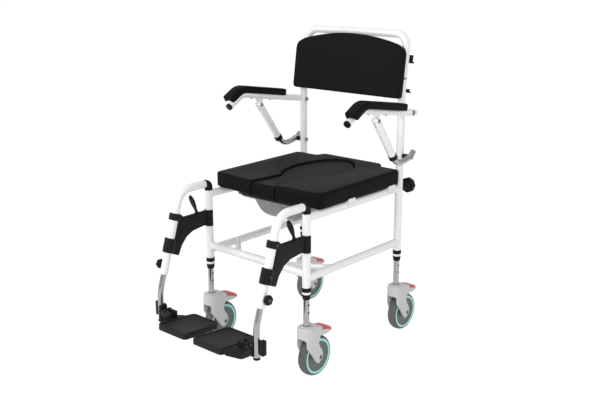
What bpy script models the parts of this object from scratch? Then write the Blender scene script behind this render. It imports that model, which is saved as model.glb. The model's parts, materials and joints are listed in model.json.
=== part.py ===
"""A wheeled shower-commode chair: rigid tube frame, four braked swivel casters on height-adjustable legs,
swing-away footrests, flip-up armrests, a commode seat with a lift-out insert and a sliding pan.

Metres, +Z up, the front faces -Y. Sizes are given from the centre of the four legs on the floor, and the
whole chair hangs from one empty that puts the middle of its plan at the origin."""

import math

import bmesh
import bpy
from mathutils import Matrix, Vector

# Frame
FRAME_Y = 0.0841  # the centre of the four legs lies this far behind the origin
LEG_X = 0.2066  # half the distance between left and right legs
LEG_Y = 0.2314  # half the distance between front and rear legs
TUBE_R = 0.0125
TUBE_BORE_R = 0.0110
TUBE_FOOT_Z = 0.273
LEG_TOP_Z = 0.520
SEAT_RAIL_Z = 0.507
LOWER_RAIL_Z = 0.3215
CROSSBAR_Z = 0.336
CORNER_BRACE_R = 0.0095
CORNER_BRACE_X = 0.075  # where a corner brace meets the crossbar
CORNER_BRACE_Y = -0.105  # where it meets the lower side rail
POST_BEND_Z = 0.830
POST_LEAN = 7.8  # degrees
POST_BEND_R = 0.150
POST_SPLIT = 0.110  # up the leaning stretch, where the push rail starts
PUSH_RAIL_RISE = 0.1731  # up the leaning stretch, to the push rail's axis
PUSH_RAIL_BEND_R = 0.045
COPE_START = 0.005  # a coped tube stops this far short of the other tube's axis
GAP = 0.0003  # clearance between pieces that touch
PAST = 0.020  # a cutting piece runs this far past what it cuts

# Legs and casters
CHROME_R = 0.0095
CHROME_BORE_R = 0.0065
COLLAR_HEIGHT = 0.0165
LEG_TUBE_TOP_Z = 0.400
HOLE_R = 0.0035
HOLE_PITCH = 0.025
HOLE_DROP = 0.017  # first hole below the collar
HOLES = 2
CROWN_TOP_Z = 0.169
CROWN_R = 0.028
CROWN_HEIGHT = 0.036
STEM_R = 0.006
STEM_LENGTH = 0.040
WHEEL_R = 0.0635
WHEEL_WIDTH = 0.032
TRAIL = 0.038
FORK_WIDTH = 0.054
FORK_CHEEK = 0.0085
CHEEK_TOP_Z = 0.160
CHEEK_FRONT_Y = -0.024  # from the stem's axis, as for the places that follow
CHEEK_FRONT_LOW_Z = 0.118
CHEEK_NECK = ((0.030, 0.125), (0.027, 0.109))  # the rear edge between the pedal's pin and the axle
AXLE_BOSS_R = 0.0160
PIN_BOSS_R = 0.010
AXLE_R = 0.005
PEDAL_PIVOT_Y = 0.036
PEDAL_PIVOT_Z = 0.152
PEDAL_PIN_R = 0.003
PEDAL_BARREL_R = 0.0065
PEDAL_WIDTH = 0.024
PEDAL_OUTLINE = (
    (0.062, 0.155),
    (0.108, 0.137),
    (0.119, 0.127),
    (0.117, 0.121),
    (0.104, 0.125),
    (0.070, 0.1395),
    (0.064, 0.1315),
    (0.052, 0.1315),
    (0.050, 0.142),
)

# Footrests
HANGER_RISE = 0.022  # from the front leg's top to the level stretch's axis
HANGER_START_Y = -0.239
HANGER_CORNER_Y = -0.3504  # where the level stretch and the slanting one would meet
HANGER_BEND_R = 0.055
HANGER_TILT = 17.1  # degrees from upright
HANGER_LENGTH = 0.2647  # from that corner to the mouth
PIVOT_PIN_LENGTH = 0.060
PIVOT_CAP_R = 0.0130
EXTENSION_R = 0.0092
EXTENSION_INSIDE = 0.130
EXTENSION_Y = -0.4445
EXTENSION_FOOT_Z = 0.142
EXTENSION_BEND_R = 0.050
BRACKET_TOP_Z = 0.456
BRACKET_WEB = 0.012
BRACKET_TOP_Y = -0.341
BRACKET_ARCH = ((-0.369, 0.336), (-0.354, 0.3667), (-0.333, 0.3895), (-0.307, 0.402), (-0.2635, 0.4077))
CLAMP_LIP = 0.002  # the web runs this far past the clamps
CLAMP_R = 0.018
CLAMPS = ((0.073, 0.094), (0.151, 0.196))  # down the slanting stretch, from the corner
SADDLE_R = 0.0161
SADDLE_BOTTOM_Z = 0.403
LEVER_PIVOT_Y = -0.284
LEVER_PIVOT_Z = 0.4562
LEVER_BARREL_R = 0.0045
LEVER_LENGTH = 0.066
LEVER_LEAN = 23.5  # degrees
LEVER_THICKNESS = 0.004
HEIGHT_KNOB_UP = 0.0283  # above the hanger's mouth
HEIGHT_KNOB_R = 0.015
HEIGHT_KNOB_THICKNESS = 0.013
HEIGHT_KNOB_NECK = 0.0045
HEIGHT_KNOB_NECK_R = 0.0065
KNOB_BOLT_R = 0.004
FOOT_HINGE_X = 0.1795
FOOT_HINGE_Z = 0.174
FOOT_BARREL_R = 0.013
FOOT_PIN_R = 0.003
FOOT_LUG_WIDTH = 0.014
FOOT_LUG_R = 0.0125
FOOT_LUG_HEIGHT = 0.023
FOOT_EAR_WIDTH = 0.008
FOOT_CLAMP_R = 0.0145
FOOT_CLAMP_LOW_Z = 0.150
FOOT_CLAMP_TOP_Z = 0.192
FOOT_BLOCK_X = 0.0280  # outboard reach of the clamp's block from the tube's axis
FOOT_BLOCK_TOP_Z = 0.203
FOOT_BLOCK_DEPTH = 0.020
FOOT_BLOCK_FORWARD = 0.006
PLATE_TOP_Z = 0.168  # at the extension tube's line
PLATE_TILT = 4.3  # degrees, toes up
PLATE_THICKNESS = 0.0165
PLATE_INNER_X = 0.018
PLATE_OUTER_X = 0.139
PLATE_FRONT_Y = -0.5175
PLATE_BACK_Y = -0.3725
PLATE_RIM = 0.006
PLATE_RECESS = 0.002
PLATE_TAPER = 0.005
PLATE_CORNER_R = 0.014
WING_END_X = 0.166
WING_LOW = 0.0135  # below the plate's top
WING_ROOT = (-0.060, 0.050)  # along the plate, from the extension tube's line
WING_WAIST = (-0.050, 0.042)
WING_END = (-0.018, 0.018)

# Armrests
ARM_X = 0.244
ARM_TUBE_R = 0.011
ARM_PIVOT_Z = 0.760
ARM_RISE = 8.6  # degrees, up to the front
ARM_BEHIND = 0.0228
ARM_LENGTH = 0.2704  # from the pivot to the corner of the front bend
ARM_BEND = 38.6  # degrees
ARM_BEND_R = 0.040
ARM_FRONT = 0.0697  # from that corner to the front end
PAD_START = 0.055  # in front of the pivot
PAD_WIDTH = 0.043
PAD_TOP = 0.029  # above the tube's axis
PAD_FRONT_SHORT = 0.012  # the pad ends this far before the tube does
BRACE_PIVOT_Y = 0.0454
BRACE_PIVOT_Z = 0.7578
BRACE_HEADING = -53.6  # degrees from the rear
BRACE_LENGTH = 0.159
BRACE_HEAD = 0.010
BRACE_SLOT = 0.005
BRACE_SLOT_DEPTH = 0.022
TAB_THICKNESS = 0.004
TAB_R = 0.008
TAB_ROOT = 0.020
BRACE_PIN_R = 0.003
HOOK_TOP = 0.034  # from the brace pivot
HOOK_BENDS = ((0.054, 56.6), (0.160, 16.4), (0.0427, 37.6))
HOOK_PIVOT_Z = 0.616
ARM_BOLT_R = 0.004
ARM_SPACER_R = 0.008
BOLT_HEAD_R = 0.0075
BOLT_HEAD = 0.004

# Seat, insert and pan
SEAT_RISE = 0.014  # from the side rails' axes to the seat's underside
SEAT_THICKNESS = 0.049
SEAT_HALF_WIDTH = 0.219
SEAT_FRONT_Y = -0.200
SEAT_FRONT_BOW = 0.018
SEAT_FRONT_X = 0.060  # the front edge bows back from here outwards
SEAT_CORNER_BACK_Y = 0.210
SEAT_TAIL_Y = 0.248
SEAT_TAIL_X = 0.125
SEAT_EDGE = 0.012
SADDLE_INSIDE = 0.0165
SADDLE_OUTSIDE = 0.002
SEAT_SADDLES = ((-0.056, -0.022), (0.151, 0.189))
KEY_HALF_WIDTH = 0.100
KEY_HALF_LENGTH = 0.1475
KEY_Y = 0.0675
TONGUE_HALF_WIDTH = 0.050
LEDGE_WIDTH = 0.008
LEDGE_HEIGHT = 0.017  # above the seat's underside
INSERT_BELOW = 0.0015  # its top lies this far below the seat's
INSERT_SLACK = 0.0008
APRON_DEPTH = 0.0135
PAN_HALF_WIDTH = 0.127
PAN_FRONT_Y = -0.190
PAN_BACK_Y = 0.205
PAN_RIM = 0.014
PAN_WALL = 0.0025
PAN_DEPTH = 0.0753
PAN_DRAW = 0.046  # how far each wall leans in
PAN_CORNER_R = 0.045
GUIDE_DROP = 0.0135  # from the seat's underside to the lips'
GUIDE_LIP = 0.003
GUIDE_REACH = 0.009
GUIDE_FRONT_Y = -0.170
GUIDE_BACK_Y = 0.200
GUIDE_WALL = 0.007

# Backrest
BACK_HALF_WIDTH = 0.2215
BACK_THICKNESS = 0.0225
BACK_LOW = -0.025  # along the lean, from the posts' bend
BACK_TOP = 0.169
BACK_SHOULDER = 0.126
BACK_EDGE = 0.006
HOOK_HEIGHTS = ((0.084, 0.112), (-0.011, 0.003))
HOOK_DEPTH = 0.032
HOOK_OUTER_X = 0.2218

# Rear hand knobs
REAR_KNOB_R = 0.024
REAR_KNOB_THICKNESS = 0.020
REAR_KNOB_NECK = 0.030
REAR_KNOB_NECK_R = 0.009

SEAT_LOW_Z = SEAT_RAIL_Z + SEAT_RISE
SEAT_TOP_Z = SEAT_LOW_Z + SEAT_THICKNESS
LEDGE_Z = SEAT_LOW_Z + LEDGE_HEIGHT
HANGER_Z = LEG_TOP_Z + HANGER_RISE
HEIGHT_KNOB_DOWN = HANGER_LENGTH - HEIGHT_KNOB_UP

SIDES = (("left", -1), ("right", 1))
ENDS = (("front", -1), ("rear", 1))
ROUND = 16
CAST = 16

YZ = Matrix(((0, 0, 1, 0), (1, 0, 0, 0), (0, 1, 0, 0), (0, 0, 0, 1)))
XZ = Matrix(((1, 0, 0, 0), (0, 0, -1, 0), (0, 1, 0, 0), (0, 0, 0, 1)))
XY = Matrix.Identity(4)


def clear_scene():
    for old in list(bpy.data.objects):
        bpy.data.objects.remove(old, do_unlink=True)


def new_collection(name):
    made = bpy.data.collections.new(name)
    bpy.context.scene.collection.children.link(made)
    return made


def material(name, colour, roughness, metallic=0.0):
    made = bpy.data.materials.new(name)
    made.use_nodes = True
    shader = made.node_tree.nodes["Principled BSDF"]
    shader.inputs["Base Color"].default_value = (*colour, 1.0)
    shader.inputs["Roughness"].default_value = roughness
    shader.inputs["Metallic"].default_value = metallic
    return made


clear_scene()
PARTS = new_collection("shower_commode_chair")
HELPERS = new_collection("cutters_and_joined_shapes")
CHAIR = bpy.data.objects.new("chair", None)
CHAIR.location = (0, FRAME_Y, 0)
PARTS.objects.link(CHAIR)

WHITE = material("white_powder_coat", (0.90, 0.90, 0.89), 0.35)
CHROME = material("chrome_steel", (0.80, 0.80, 0.80), 0.08, 1.0)
BLACK = material("black_plastic", (0.025, 0.025, 0.027), 0.45)
FOAM = material("black_foam", (0.020, 0.020, 0.021), 0.55)
GREY = material("grey_plastic", (0.58, 0.58, 0.57), 0.40)
TYRE = material("grey_tyre", (0.12, 0.12, 0.12), 0.70)
RED = material("red_plastic", (0.62, 0.09, 0.10), 0.40)
PAN_GREY = material("pan_plastic", (0.26, 0.26, 0.26), 0.40)


def add(name, mesh, finish=None, basis=XY):
    """An object under the chair's empty, smooth where it is round."""
    made = bpy.data.objects.new(name, mesh)
    PARTS.objects.link(made)
    made.parent = CHAIR
    made.matrix_basis = basis
    mesh.shade_smooth()
    mesh.set_sharp_from_angle(angle=math.radians(35))
    if finish:
        mesh.materials.append(finish)
    return made


def offset(holder):
    """Where a holder stands, from the leg centre."""
    total = Vector((0, 0, 0))
    while holder != CHAIR:
        total += holder.location
        holder = holder.parent
    return total


def pivot(name, place, parent=CHAIR):
    """An empty on a joint's axis; its place is given from the leg centre, like every other size."""
    made = bpy.data.objects.new(name, None)
    PARTS.objects.link(made)
    made.parent = parent
    made.location = Vector(place) - offset(parent)
    return made


def carry(holder, *pieces):
    for piece in pieces:
        piece.parent = holder
        piece.matrix_parent_inverse = Matrix.Translation(-offset(holder))


def combine(target, operation, *others):
    for other in others:
        PARTS.objects.unlink(other)
        HELPERS.objects.link(other)
        other.hide_render = True
        other.display_type = "WIRE"
        step = target.modifiers.new(operation.lower(), "BOOLEAN")
        step.operation = operation
        step.object = other
    return target


def join(target, *others):
    return combine(target, "UNION", *others)


def cut(target, *others):
    return combine(target, "DIFFERENCE", *others)


def soften(target, width, segments=2):
    """Rounds the sharp edges."""
    step = target.modifiers.new("edges", "BEVEL")
    step.width = width
    step.segments = segments
    step.limit_method = "ANGLE"
    step.angle_limit = math.radians(40)
    return target


def block(name, low, high, finish=None, place=XY):
    mesh = bpy.data.meshes.new(name)
    shape = bmesh.new()
    bmesh.ops.create_cube(shape, size=1)
    size = [b - a for a, b in zip(low, high)]
    middle = [(a + b) / 2 for a, b in zip(low, high)]
    bmesh.ops.scale(shape, verts=shape.verts, vec=size)
    bmesh.ops.translate(shape, verts=shape.verts, vec=middle)
    shape.to_mesh(mesh)
    shape.free()
    return add(name, mesh, finish, place)


def side_block(name, side, low, high, finish=None, place=XY):
    """A block given for the right side, mirrored for the left."""
    ends = sorted((side * low[0], side * high[0]))
    return block(name, (ends[0], *low[1:]), (ends[1], *high[1:]), finish, place)


def rod(name, start, end, radius, finish=None, sides=ROUND):
    start = Vector(start)
    line = Vector(end) - start
    mesh = bpy.data.meshes.new(name)
    shape = bmesh.new()
    bmesh.ops.create_cone(
        shape, cap_ends=True, segments=sides, radius1=radius, radius2=radius, depth=line.length
    )
    bmesh.ops.translate(shape, verts=shape.verts, vec=(0, 0, line.length / 2))
    shape.to_mesh(mesh)
    shape.free()
    turn = line.to_track_quat("Z", "Y").to_matrix().to_4x4()
    return add(name, mesh, finish, Matrix.Translation(start) @ turn)


def cross_rod(name, x_low, x_high, y, z, radius, finish=None, sides=CAST):
    return rod(name, (x_low, y, z), (x_high, y, z), radius, finish, sides)


def turned(name, profile, place, finish=None, axis="Z", steps=24, closed=False):
    """A profile of (radius, height) turned about the axis through place."""
    mesh = bpy.data.meshes.new(name)
    edges = [(i, i + 1) for i in range(len(profile) - 1)]
    if closed:
        edges.append((len(profile) - 1, 0))
    mesh.from_pydata([(radius, 0, height) for radius, height in profile], edges, [])
    turn = {"Z": XY, "X": Matrix.Rotation(math.pi / 2, 4, "Y"), "Y": Matrix.Rotation(-math.pi / 2, 4, "X")}
    made = add(name, mesh, finish, Matrix.Translation(place) @ turn[axis])
    screw = made.modifiers.new("turn", "SCREW")
    screw.steps = steps
    screw.render_steps = steps
    screw.use_merge_vertices = True
    screw.merge_threshold = 0.00005
    return made


def ring(name, outer, inner, low, high, place, finish=None, axis="Z", steps=ROUND):
    profile = [(inner, high), (outer, high), (outer, low), (inner, low)]
    return turned(name, profile, place, finish, axis, steps, closed=True)


def as_mesh(name, curve, finish, basis):
    """The curve as a welded mesh object, with its faces pointing out."""
    made = bpy.data.objects.new(name, curve)
    PARTS.objects.link(made)
    evaluated = made.evaluated_get(bpy.context.evaluated_depsgraph_get())
    mesh = bpy.data.meshes.new_from_object(evaluated)
    bpy.data.objects.remove(made)
    bpy.data.curves.remove(curve)
    shape = bmesh.new()
    shape.from_mesh(mesh)
    bmesh.ops.remove_doubles(shape, verts=shape.verts, dist=0.000005)
    bmesh.ops.recalc_face_normals(shape, faces=shape.faces)
    shape.to_mesh(mesh)
    shape.free()
    mesh.name = name
    mesh.materials.clear()
    return add(name, mesh, finish, basis)


def new_spline(curve, points, cyclic):
    spline = curve.splines.new("POLY")
    spline.points.add(len(points) - 1)
    for knot, place in zip(spline.points, points):
        knot.co = (*place, *(0,) * (3 - len(place)), 1)
    spline.use_cyclic_u = cyclic


def tube(name, points, radius, finish=None, sides=CAST):
    curve = bpy.data.curves.new(name, "CURVE")
    curve.dimensions = "3D"
    curve.bevel_depth = radius
    curve.bevel_resolution = sides // 2 - 2
    curve.use_fill_caps = True
    new_spline(curve, points, cyclic=False)
    return as_mesh(name, curve, finish, XY)


def slab(name, outline, low, high, finish=None, plane=XY, place=XY):
    """A flat outline with its thickness from low to high along the plane's normal."""
    curve = bpy.data.curves.new(name, "CURVE")
    curve.dimensions = "2D"
    curve.fill_mode = "BOTH"
    curve.extrude = (high - low) / 2
    new_spline(curve, outline, cyclic=True)
    middle = Matrix.Translation((0, 0, (low + high) / 2))
    return as_mesh(name, curve, finish, place @ plane @ middle)


def rounded(points, radius, steps=4):
    """A polygon with arcs at its corners; radius is one number, or one for each corner."""
    radii = radius if isinstance(radius, (list, tuple)) else [radius] * len(points)
    made = []
    for i, (corner, bend) in enumerate(zip(points, radii)):
        corner = Vector(corner)
        if not bend:
            made.append(corner)
            continue
        back = (Vector(points[i - 1]) - corner).normalized()
        ahead = (Vector(points[(i + 1) % len(points)]) - corner).normalized()
        half = back.angle(ahead) / 2
        centre = corner + (back + ahead).normalized() * bend / math.sin(half)
        first = corner + back * bend / math.tan(half) - centre
        last = corner + ahead * bend / math.tan(half) - centre
        start = math.atan2(first.y, first.x)
        sweep = math.remainder(math.atan2(last.y, last.x) - start, math.tau)
        for k in range(steps + 1):
            angle = start + sweep * k / steps
            made.append(centre + Vector((math.cos(angle), math.sin(angle))) * bend)
    return made


def mirrored(points, side):
    return [(side * x, y) for x, y in points]


def trace(start, heading, moves, step=15):
    """A centreline in a plane: (length,) goes straight, and (radius, degrees) bends, plus to the left."""
    point = Vector(start)
    heading = math.radians(heading)
    points = [point.copy()]
    for move in moves:
        if len(move) == 1:
            point = point + Vector((math.cos(heading), math.sin(heading))) * move[0]
            points.append(point.copy())
            continue
        radius, turn = move[0], math.radians(move[1])
        left = Vector((-math.sin(heading), math.cos(heading))) * math.copysign(1, turn)
        centre = point + left * radius
        count = max(2, math.ceil(abs(move[1]) / step))
        for k in range(1, count + 1):
            spoke = (-left * radius)
            spoke.rotate(Matrix.Rotation(turn * k / count, 2))
            points.append(centre + spoke)
        point = points[-1].copy()
        heading += turn
    return points


def tangent(radius, degrees):
    """How much of each leg a bend takes up, from the corner."""
    return radius * math.tan(math.radians(abs(degrees)) / 2)


def in_side_plane(points, x):
    return [(x, point[0], point[1]) for point in points]


def lobed(radius, lobes=6, depth=0.10, count=24):
    """The outline of a hand knob."""
    turns = [math.tau * k / count for k in range(count)]
    reach = [radius * (1 - depth * (1 - math.cos(lobes * turn)) / 2) for turn in turns]
    return [(r * math.cos(turn), r * math.sin(turn)) for r, turn in zip(reach, turns)]


def beside(points, distance):
    """The line that runs this far to the right of another."""
    made = []
    for i, point in enumerate(points):
        along = Vector(points[min(i + 1, len(points) - 1)]) - Vector(points[max(i - 1, 0)])
        along.normalize()
        made.append(Vector(point) + Vector((along.y, -along.x)) * distance)
    return made


def heading_of(degrees):
    return Vector((math.cos(math.radians(degrees)), math.sin(math.radians(degrees))))


def both_ways(sign, near, far):
    """Low and high X of a stretch given for the right side."""
    return sorted((sign * near, sign * far))


# Frame

def upright_cope(x, y, z):
    return rod("leg_cope", (x, y, z - 0.03), (x, y, z + 0.03), TUBE_R + GAP, sides=24)


def rail_cope(x, y_low, y_high, z):
    return rod("rail_cope", (x, y_low, z), (x, y_high, z), TUBE_R + GAP, sides=24)


def front_leg(side, sign):
    place = (sign * LEG_X, -LEG_Y, 0)
    ring(f"front_leg_{side}", TUBE_R, TUBE_BORE_R, TUBE_FOOT_Z, LEG_TOP_Z, place, WHITE)


def post_path():
    bend = tangent(POST_BEND_R, POST_LEAN)
    below = POST_BEND_Z - bend - TUBE_FOOT_Z
    return trace((LEG_Y, TUBE_FOOT_Z), 90, [(below,), (POST_BEND_R, -POST_LEAN), (POST_SPLIT - bend,)], 5)


def past_the_ends(points, more=0.004):
    """The same line, a little longer at both ends, for a bore."""
    first = points[0] + (points[0] - points[1]).normalized() * more
    last = points[-1] + (points[-1] - points[-2]).normalized() * more
    return [first, *points[1:-1], last]


def rear_post(side, sign):
    x = sign * LEG_X
    post = tube(f"rear_post_{side}", in_side_plane(post_path(), x), TUBE_R, WHITE)
    bore = tube("post_bore", in_side_plane(past_the_ends(post_path()), x), TUBE_BORE_R, sides=14)
    arm_hole = cross_rod("arm_hole", x - 0.02, x + 0.02, LEG_Y, ARM_PIVOT_Z, ARM_BOLT_R + GAP, sides=12)
    start, end = (x, LEG_Y - 0.02, SEAT_RAIL_Z), (x, LEG_Y + 0.02, SEAT_RAIL_Z)
    knob_hole = rod("knob_hole", start, end, KNOB_BOLT_R + GAP, sides=12)
    cut(post, bore, arm_hole, knob_hole)


def leaning(points):
    """Points of (x, rise) in the plane of the posts' leaning stretch."""
    lean = math.radians(POST_LEAN)
    return [
        Vector((p[0], LEG_Y + p[1] * math.sin(lean), POST_BEND_Z + p[1] * math.cos(lean))) for p in points
    ]


def push_rail():
    upright = PUSH_RAIL_RISE - PUSH_RAIL_BEND_R - POST_SPLIT - GAP
    across = 2 * (LEG_X - PUSH_RAIL_BEND_R)
    bend = (PUSH_RAIL_BEND_R, 90)
    moves = [(upright,), bend, (across,), bend, (upright,)]
    path = leaning(trace((LEG_X, POST_SPLIT + GAP), 90, moves, 22.5))
    rail = tube("push_rail", path, TUBE_R, WHITE)
    cut(rail, tube("push_rail_bore", past_the_ends(path), TUBE_BORE_R, sides=10))


def side_rail(name, sign, z):
    x = sign * LEG_X
    half = LEG_Y - COPE_START
    rail = ring(name, TUBE_R, TUBE_BORE_R, -half, half, (x, 0, z), WHITE, axis="Y")
    cut(rail, upright_cope(x, -LEG_Y, z), upright_cope(x, LEG_Y, z))


def front_crossbar():
    reach = LEG_X - COPE_START
    bar = rod("front_crossbar", (-reach, -LEG_Y, CROSSBAR_Z), (reach, -LEG_Y, CROSSBAR_Z), TUBE_R, WHITE)
    for side, sign in SIDES:
        start = (sign * CORNER_BRACE_X, -LEG_Y, CROSSBAR_Z)
        end = (sign * LEG_X, CORNER_BRACE_Y, LOWER_RAIL_Z)
        join(bar, rod(f"corner_brace_{side}", start, end, CORNER_BRACE_R, sides=CAST))
    for side, sign in SIDES:
        x = sign * LEG_X
        rail_start = COPE_START - GAP - LEG_Y
        cut(bar, upright_cope(x, -LEG_Y, CROSSBAR_Z), rail_cope(x, rail_start, 0, LOWER_RAIL_Z))


def rear_crossbar():
    reach = LEG_X - max(COPE_START, KNOB_BOLT_R + 2 * GAP)
    bar = ring("rear_crossbar", TUBE_R, TUBE_BORE_R, -reach, reach, (0, LEG_Y, SEAT_RAIL_Z), WHITE, axis="X")
    for side, sign in SIDES:
        x = sign * LEG_X
        rail_end = LEG_Y - COPE_START + GAP
        cut(bar, upright_cope(x, LEG_Y, SEAT_RAIL_Z), rail_cope(x, 0, rail_end, SEAT_RAIL_Z))


# Legs and casters

def leg_collar(where, x, y):
    low = TUBE_FOOT_Z - GAP - COLLAR_HEIGHT
    high = TUBE_FOOT_Z - GAP
    inner = CHROME_R + GAP
    profile = [(inner, high), (TUBE_R, high), (TUBE_R, low + 0.005), (TUBE_R - 0.0015, low), (inner, low)]
    turned(f"leg_collar_{where}", profile, (x, y, 0), BLACK, steps=CAST, closed=True)


def leg_tube(where, x, y):
    low = CROWN_TOP_Z + GAP
    name, high = f"leg_tube_{where}", LEG_TUBE_TOP_Z
    pipe = ring(name, CHROME_R, CHROME_BORE_R, low, high, (x, y, 0), CHROME, steps=CAST)
    first = TUBE_FOOT_Z - COLLAR_HEIGHT - HOLE_DROP
    for k in range(HOLES):
        z = first - k * HOLE_PITCH
        cut(pipe, cross_rod("leg_hole", x - 0.02, x + 0.02, y, z, HOLE_R, sides=8))
    return pipe


def caster_fork(where, x, y):
    low = CROWN_TOP_Z - CROWN_HEIGHT
    profile = [
        (0, CROWN_TOP_Z + STEM_LENGTH),
        (STEM_R, CROWN_TOP_Z + STEM_LENGTH),
        (STEM_R, CROWN_TOP_Z),
        (CROWN_R - 0.008, CROWN_TOP_Z),
        (CROWN_R - 0.002, CROWN_TOP_Z - 0.004),
        (CROWN_R, CROWN_TOP_Z - 0.011),
        (CROWN_R, low),
        (0, low),
    ]
    fork = turned(f"caster_fork_{where}", profile, (x, y, 0), GREY, steps=14)
    rear = TRAIL + AXLE_BOSS_R
    foot = WHEEL_R - AXLE_BOSS_R
    cheek = rounded(
        [
            (CHEEK_FRONT_Y, CHEEK_TOP_Z),
            (PEDAL_PIVOT_Y + PIN_BOSS_R, CHEEK_TOP_Z),
            (PEDAL_PIVOT_Y + PIN_BOSS_R, PEDAL_PIVOT_Z - PIN_BOSS_R),
            *CHEEK_NECK,
            (rear, WHEEL_R + AXLE_BOSS_R * 0.7),
            (rear, foot),
            (TRAIL - AXLE_BOSS_R, foot),
            (CHEEK_FRONT_Y, CHEEK_FRONT_LOW_Z),
        ],
        [0.010, 0.006, 0.003, 0.006, 0.006, 0.006, 0.012, 0.012, 0.012],
        3,
    )
    inner = FORK_WIDTH / 2 - FORK_CHEEK
    for side, sign in SIDES:
        low_x, high_x = both_ways(sign, inner, FORK_WIDTH / 2)
        place = Matrix.Translation((0, y, 0))
        join(fork, slab(f"cheek_{side}", cheek, x + low_x, x + high_x, None, YZ, place))
    reach = inner + FORK_CHEEK / 2
    join(fork, cross_rod("axle", x - reach, x + reach, y + TRAIL, WHEEL_R, AXLE_R, sides=12))
    pin_y, pin_z = y + PEDAL_PIVOT_Y, PEDAL_PIVOT_Z
    join(fork, cross_rod("pin", x - reach, x + reach, pin_y, pin_z, PEDAL_PIN_R, sides=8))
    return fork


def caster_wheel(where, x, y):
    half = WHEEL_WIDTH / 2
    bore = AXLE_R + GAP
    upper = [
        (bore, half - 0.003),
        (0.044, half - 0.005),
        (0.047, half - 0.001),
        (0.056, half),
        (WHEEL_R - 0.003, half - 0.005),
        (WHEEL_R, half - 0.011),
    ]
    lower = [(radius, -height) for radius, height in reversed(upper)]
    place = (x, y + TRAIL, WHEEL_R)
    return turned(f"caster_wheel_{where}", upper + lower, place, TYRE, axis="X", steps=20, closed=True)


def brake_pedal(where, x, y):
    above, below = PEDAL_PIVOT_Z + 0.005, PEDAL_PIVOT_Z - 0.005
    outline = [(PEDAL_PIVOT_Y, above), *PEDAL_OUTLINE, (PEDAL_PIVOT_Y, below)]
    half = PEDAL_WIDTH / 2
    pedal = slab(
        f"brake_pedal_{where}", outline, x - half, x + half, RED, YZ, Matrix.Translation((0, y, 0))
    )
    reach = FORK_WIDTH / 2 - FORK_CHEEK - GAP
    pivot_y = y + PEDAL_PIVOT_Y
    join(pedal, cross_rod("barrel", x - reach, x + reach, pivot_y, PEDAL_PIVOT_Z, PEDAL_BARREL_R, sides=14))
    hole_r = PEDAL_PIN_R + 2 * GAP
    cut(pedal, cross_rod("pin_hole", x - 0.03, x + 0.03, pivot_y, PEDAL_PIVOT_Z, hole_r, sides=8))
    return pedal


def leg_and_caster(where, x, y):
    leg_collar(where, x, y)
    slide = pivot(f"leg_slide_{where}", (x, y, TUBE_FOOT_Z))
    swivel = pivot(f"caster_swivel_{where}", (x, y, CROWN_TOP_Z), slide)
    axle = pivot(f"wheel_axle_{where}", (x, y + TRAIL, WHEEL_R), swivel)
    pedal = pivot(f"pedal_pin_{where}", (x, y + PEDAL_PIVOT_Y, PEDAL_PIVOT_Z), swivel)
    carry(slide, leg_tube(where, x, y))
    carry(swivel, caster_fork(where, x, y))
    carry(axle, caster_wheel(where, x, y))
    carry(pedal, brake_pedal(where, x, y))


# Footrests

HANGER_TURN = 90 - HANGER_TILT
HANGER_HEADING = 180 + HANGER_TURN


def down_the_hanger(distance):
    """A point (y, z) on the slanting stretch, this far from the hanger's corner."""
    return Vector((HANGER_CORNER_Y, HANGER_Z)) + heading_of(HANGER_HEADING) * distance


def hanger_path():
    bend = tangent(HANGER_BEND_R, HANGER_TURN)
    level = HANGER_START_Y - HANGER_CORNER_Y - bend
    moves = [(level,), (HANGER_BEND_R, HANGER_TURN), (HANGER_LENGTH - bend,)]
    return trace((HANGER_START_Y, HANGER_Z), 180, moves, 20)


def hanger_rod(name, x, start, end, radius, sides=CAST):
    """A rod on the slanting stretch's axis."""
    (near,) = in_side_plane([down_the_hanger(start)], x)
    (far,) = in_side_plane([down_the_hanger(end)], x)
    return rod(name, near, far, radius, sides=sides)


def hanger_tube(side, sign):
    x = sign * LEG_X
    hanger = tube(f"hanger_tube_{side}", in_side_plane(hanger_path(), x), TUBE_R, WHITE)
    cap = rod("cap", (x, -LEG_Y, LEG_TOP_Z + GAP), (x, -LEG_Y, HANGER_Z + 0.001), PIVOT_CAP_R)
    pin_low, pin_high = LEG_TOP_Z - PIVOT_PIN_LENGTH, HANGER_Z - 0.005
    pin = rod("pin", (x, -LEG_Y, pin_low), (x, -LEG_Y, pin_high), TUBE_BORE_R - GAP)
    bore_start = HANGER_LENGTH - EXTENSION_INSIDE - 0.003
    bore = hanger_rod("bore", x, bore_start, HANGER_LENGTH + 0.01, EXTENSION_R + GAP)
    knob_y, knob_z = down_the_hanger(HEIGHT_KNOB_DOWN)
    low_x, high_x = both_ways(sign, LEG_X, LEG_X + 0.02)
    hole = cross_rod("knob_hole", low_x, high_x, knob_y, knob_z, KNOB_BOLT_R + GAP, sides=12)
    join(hanger, cap, pin)
    return cut(hanger, bore, hole)


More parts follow.
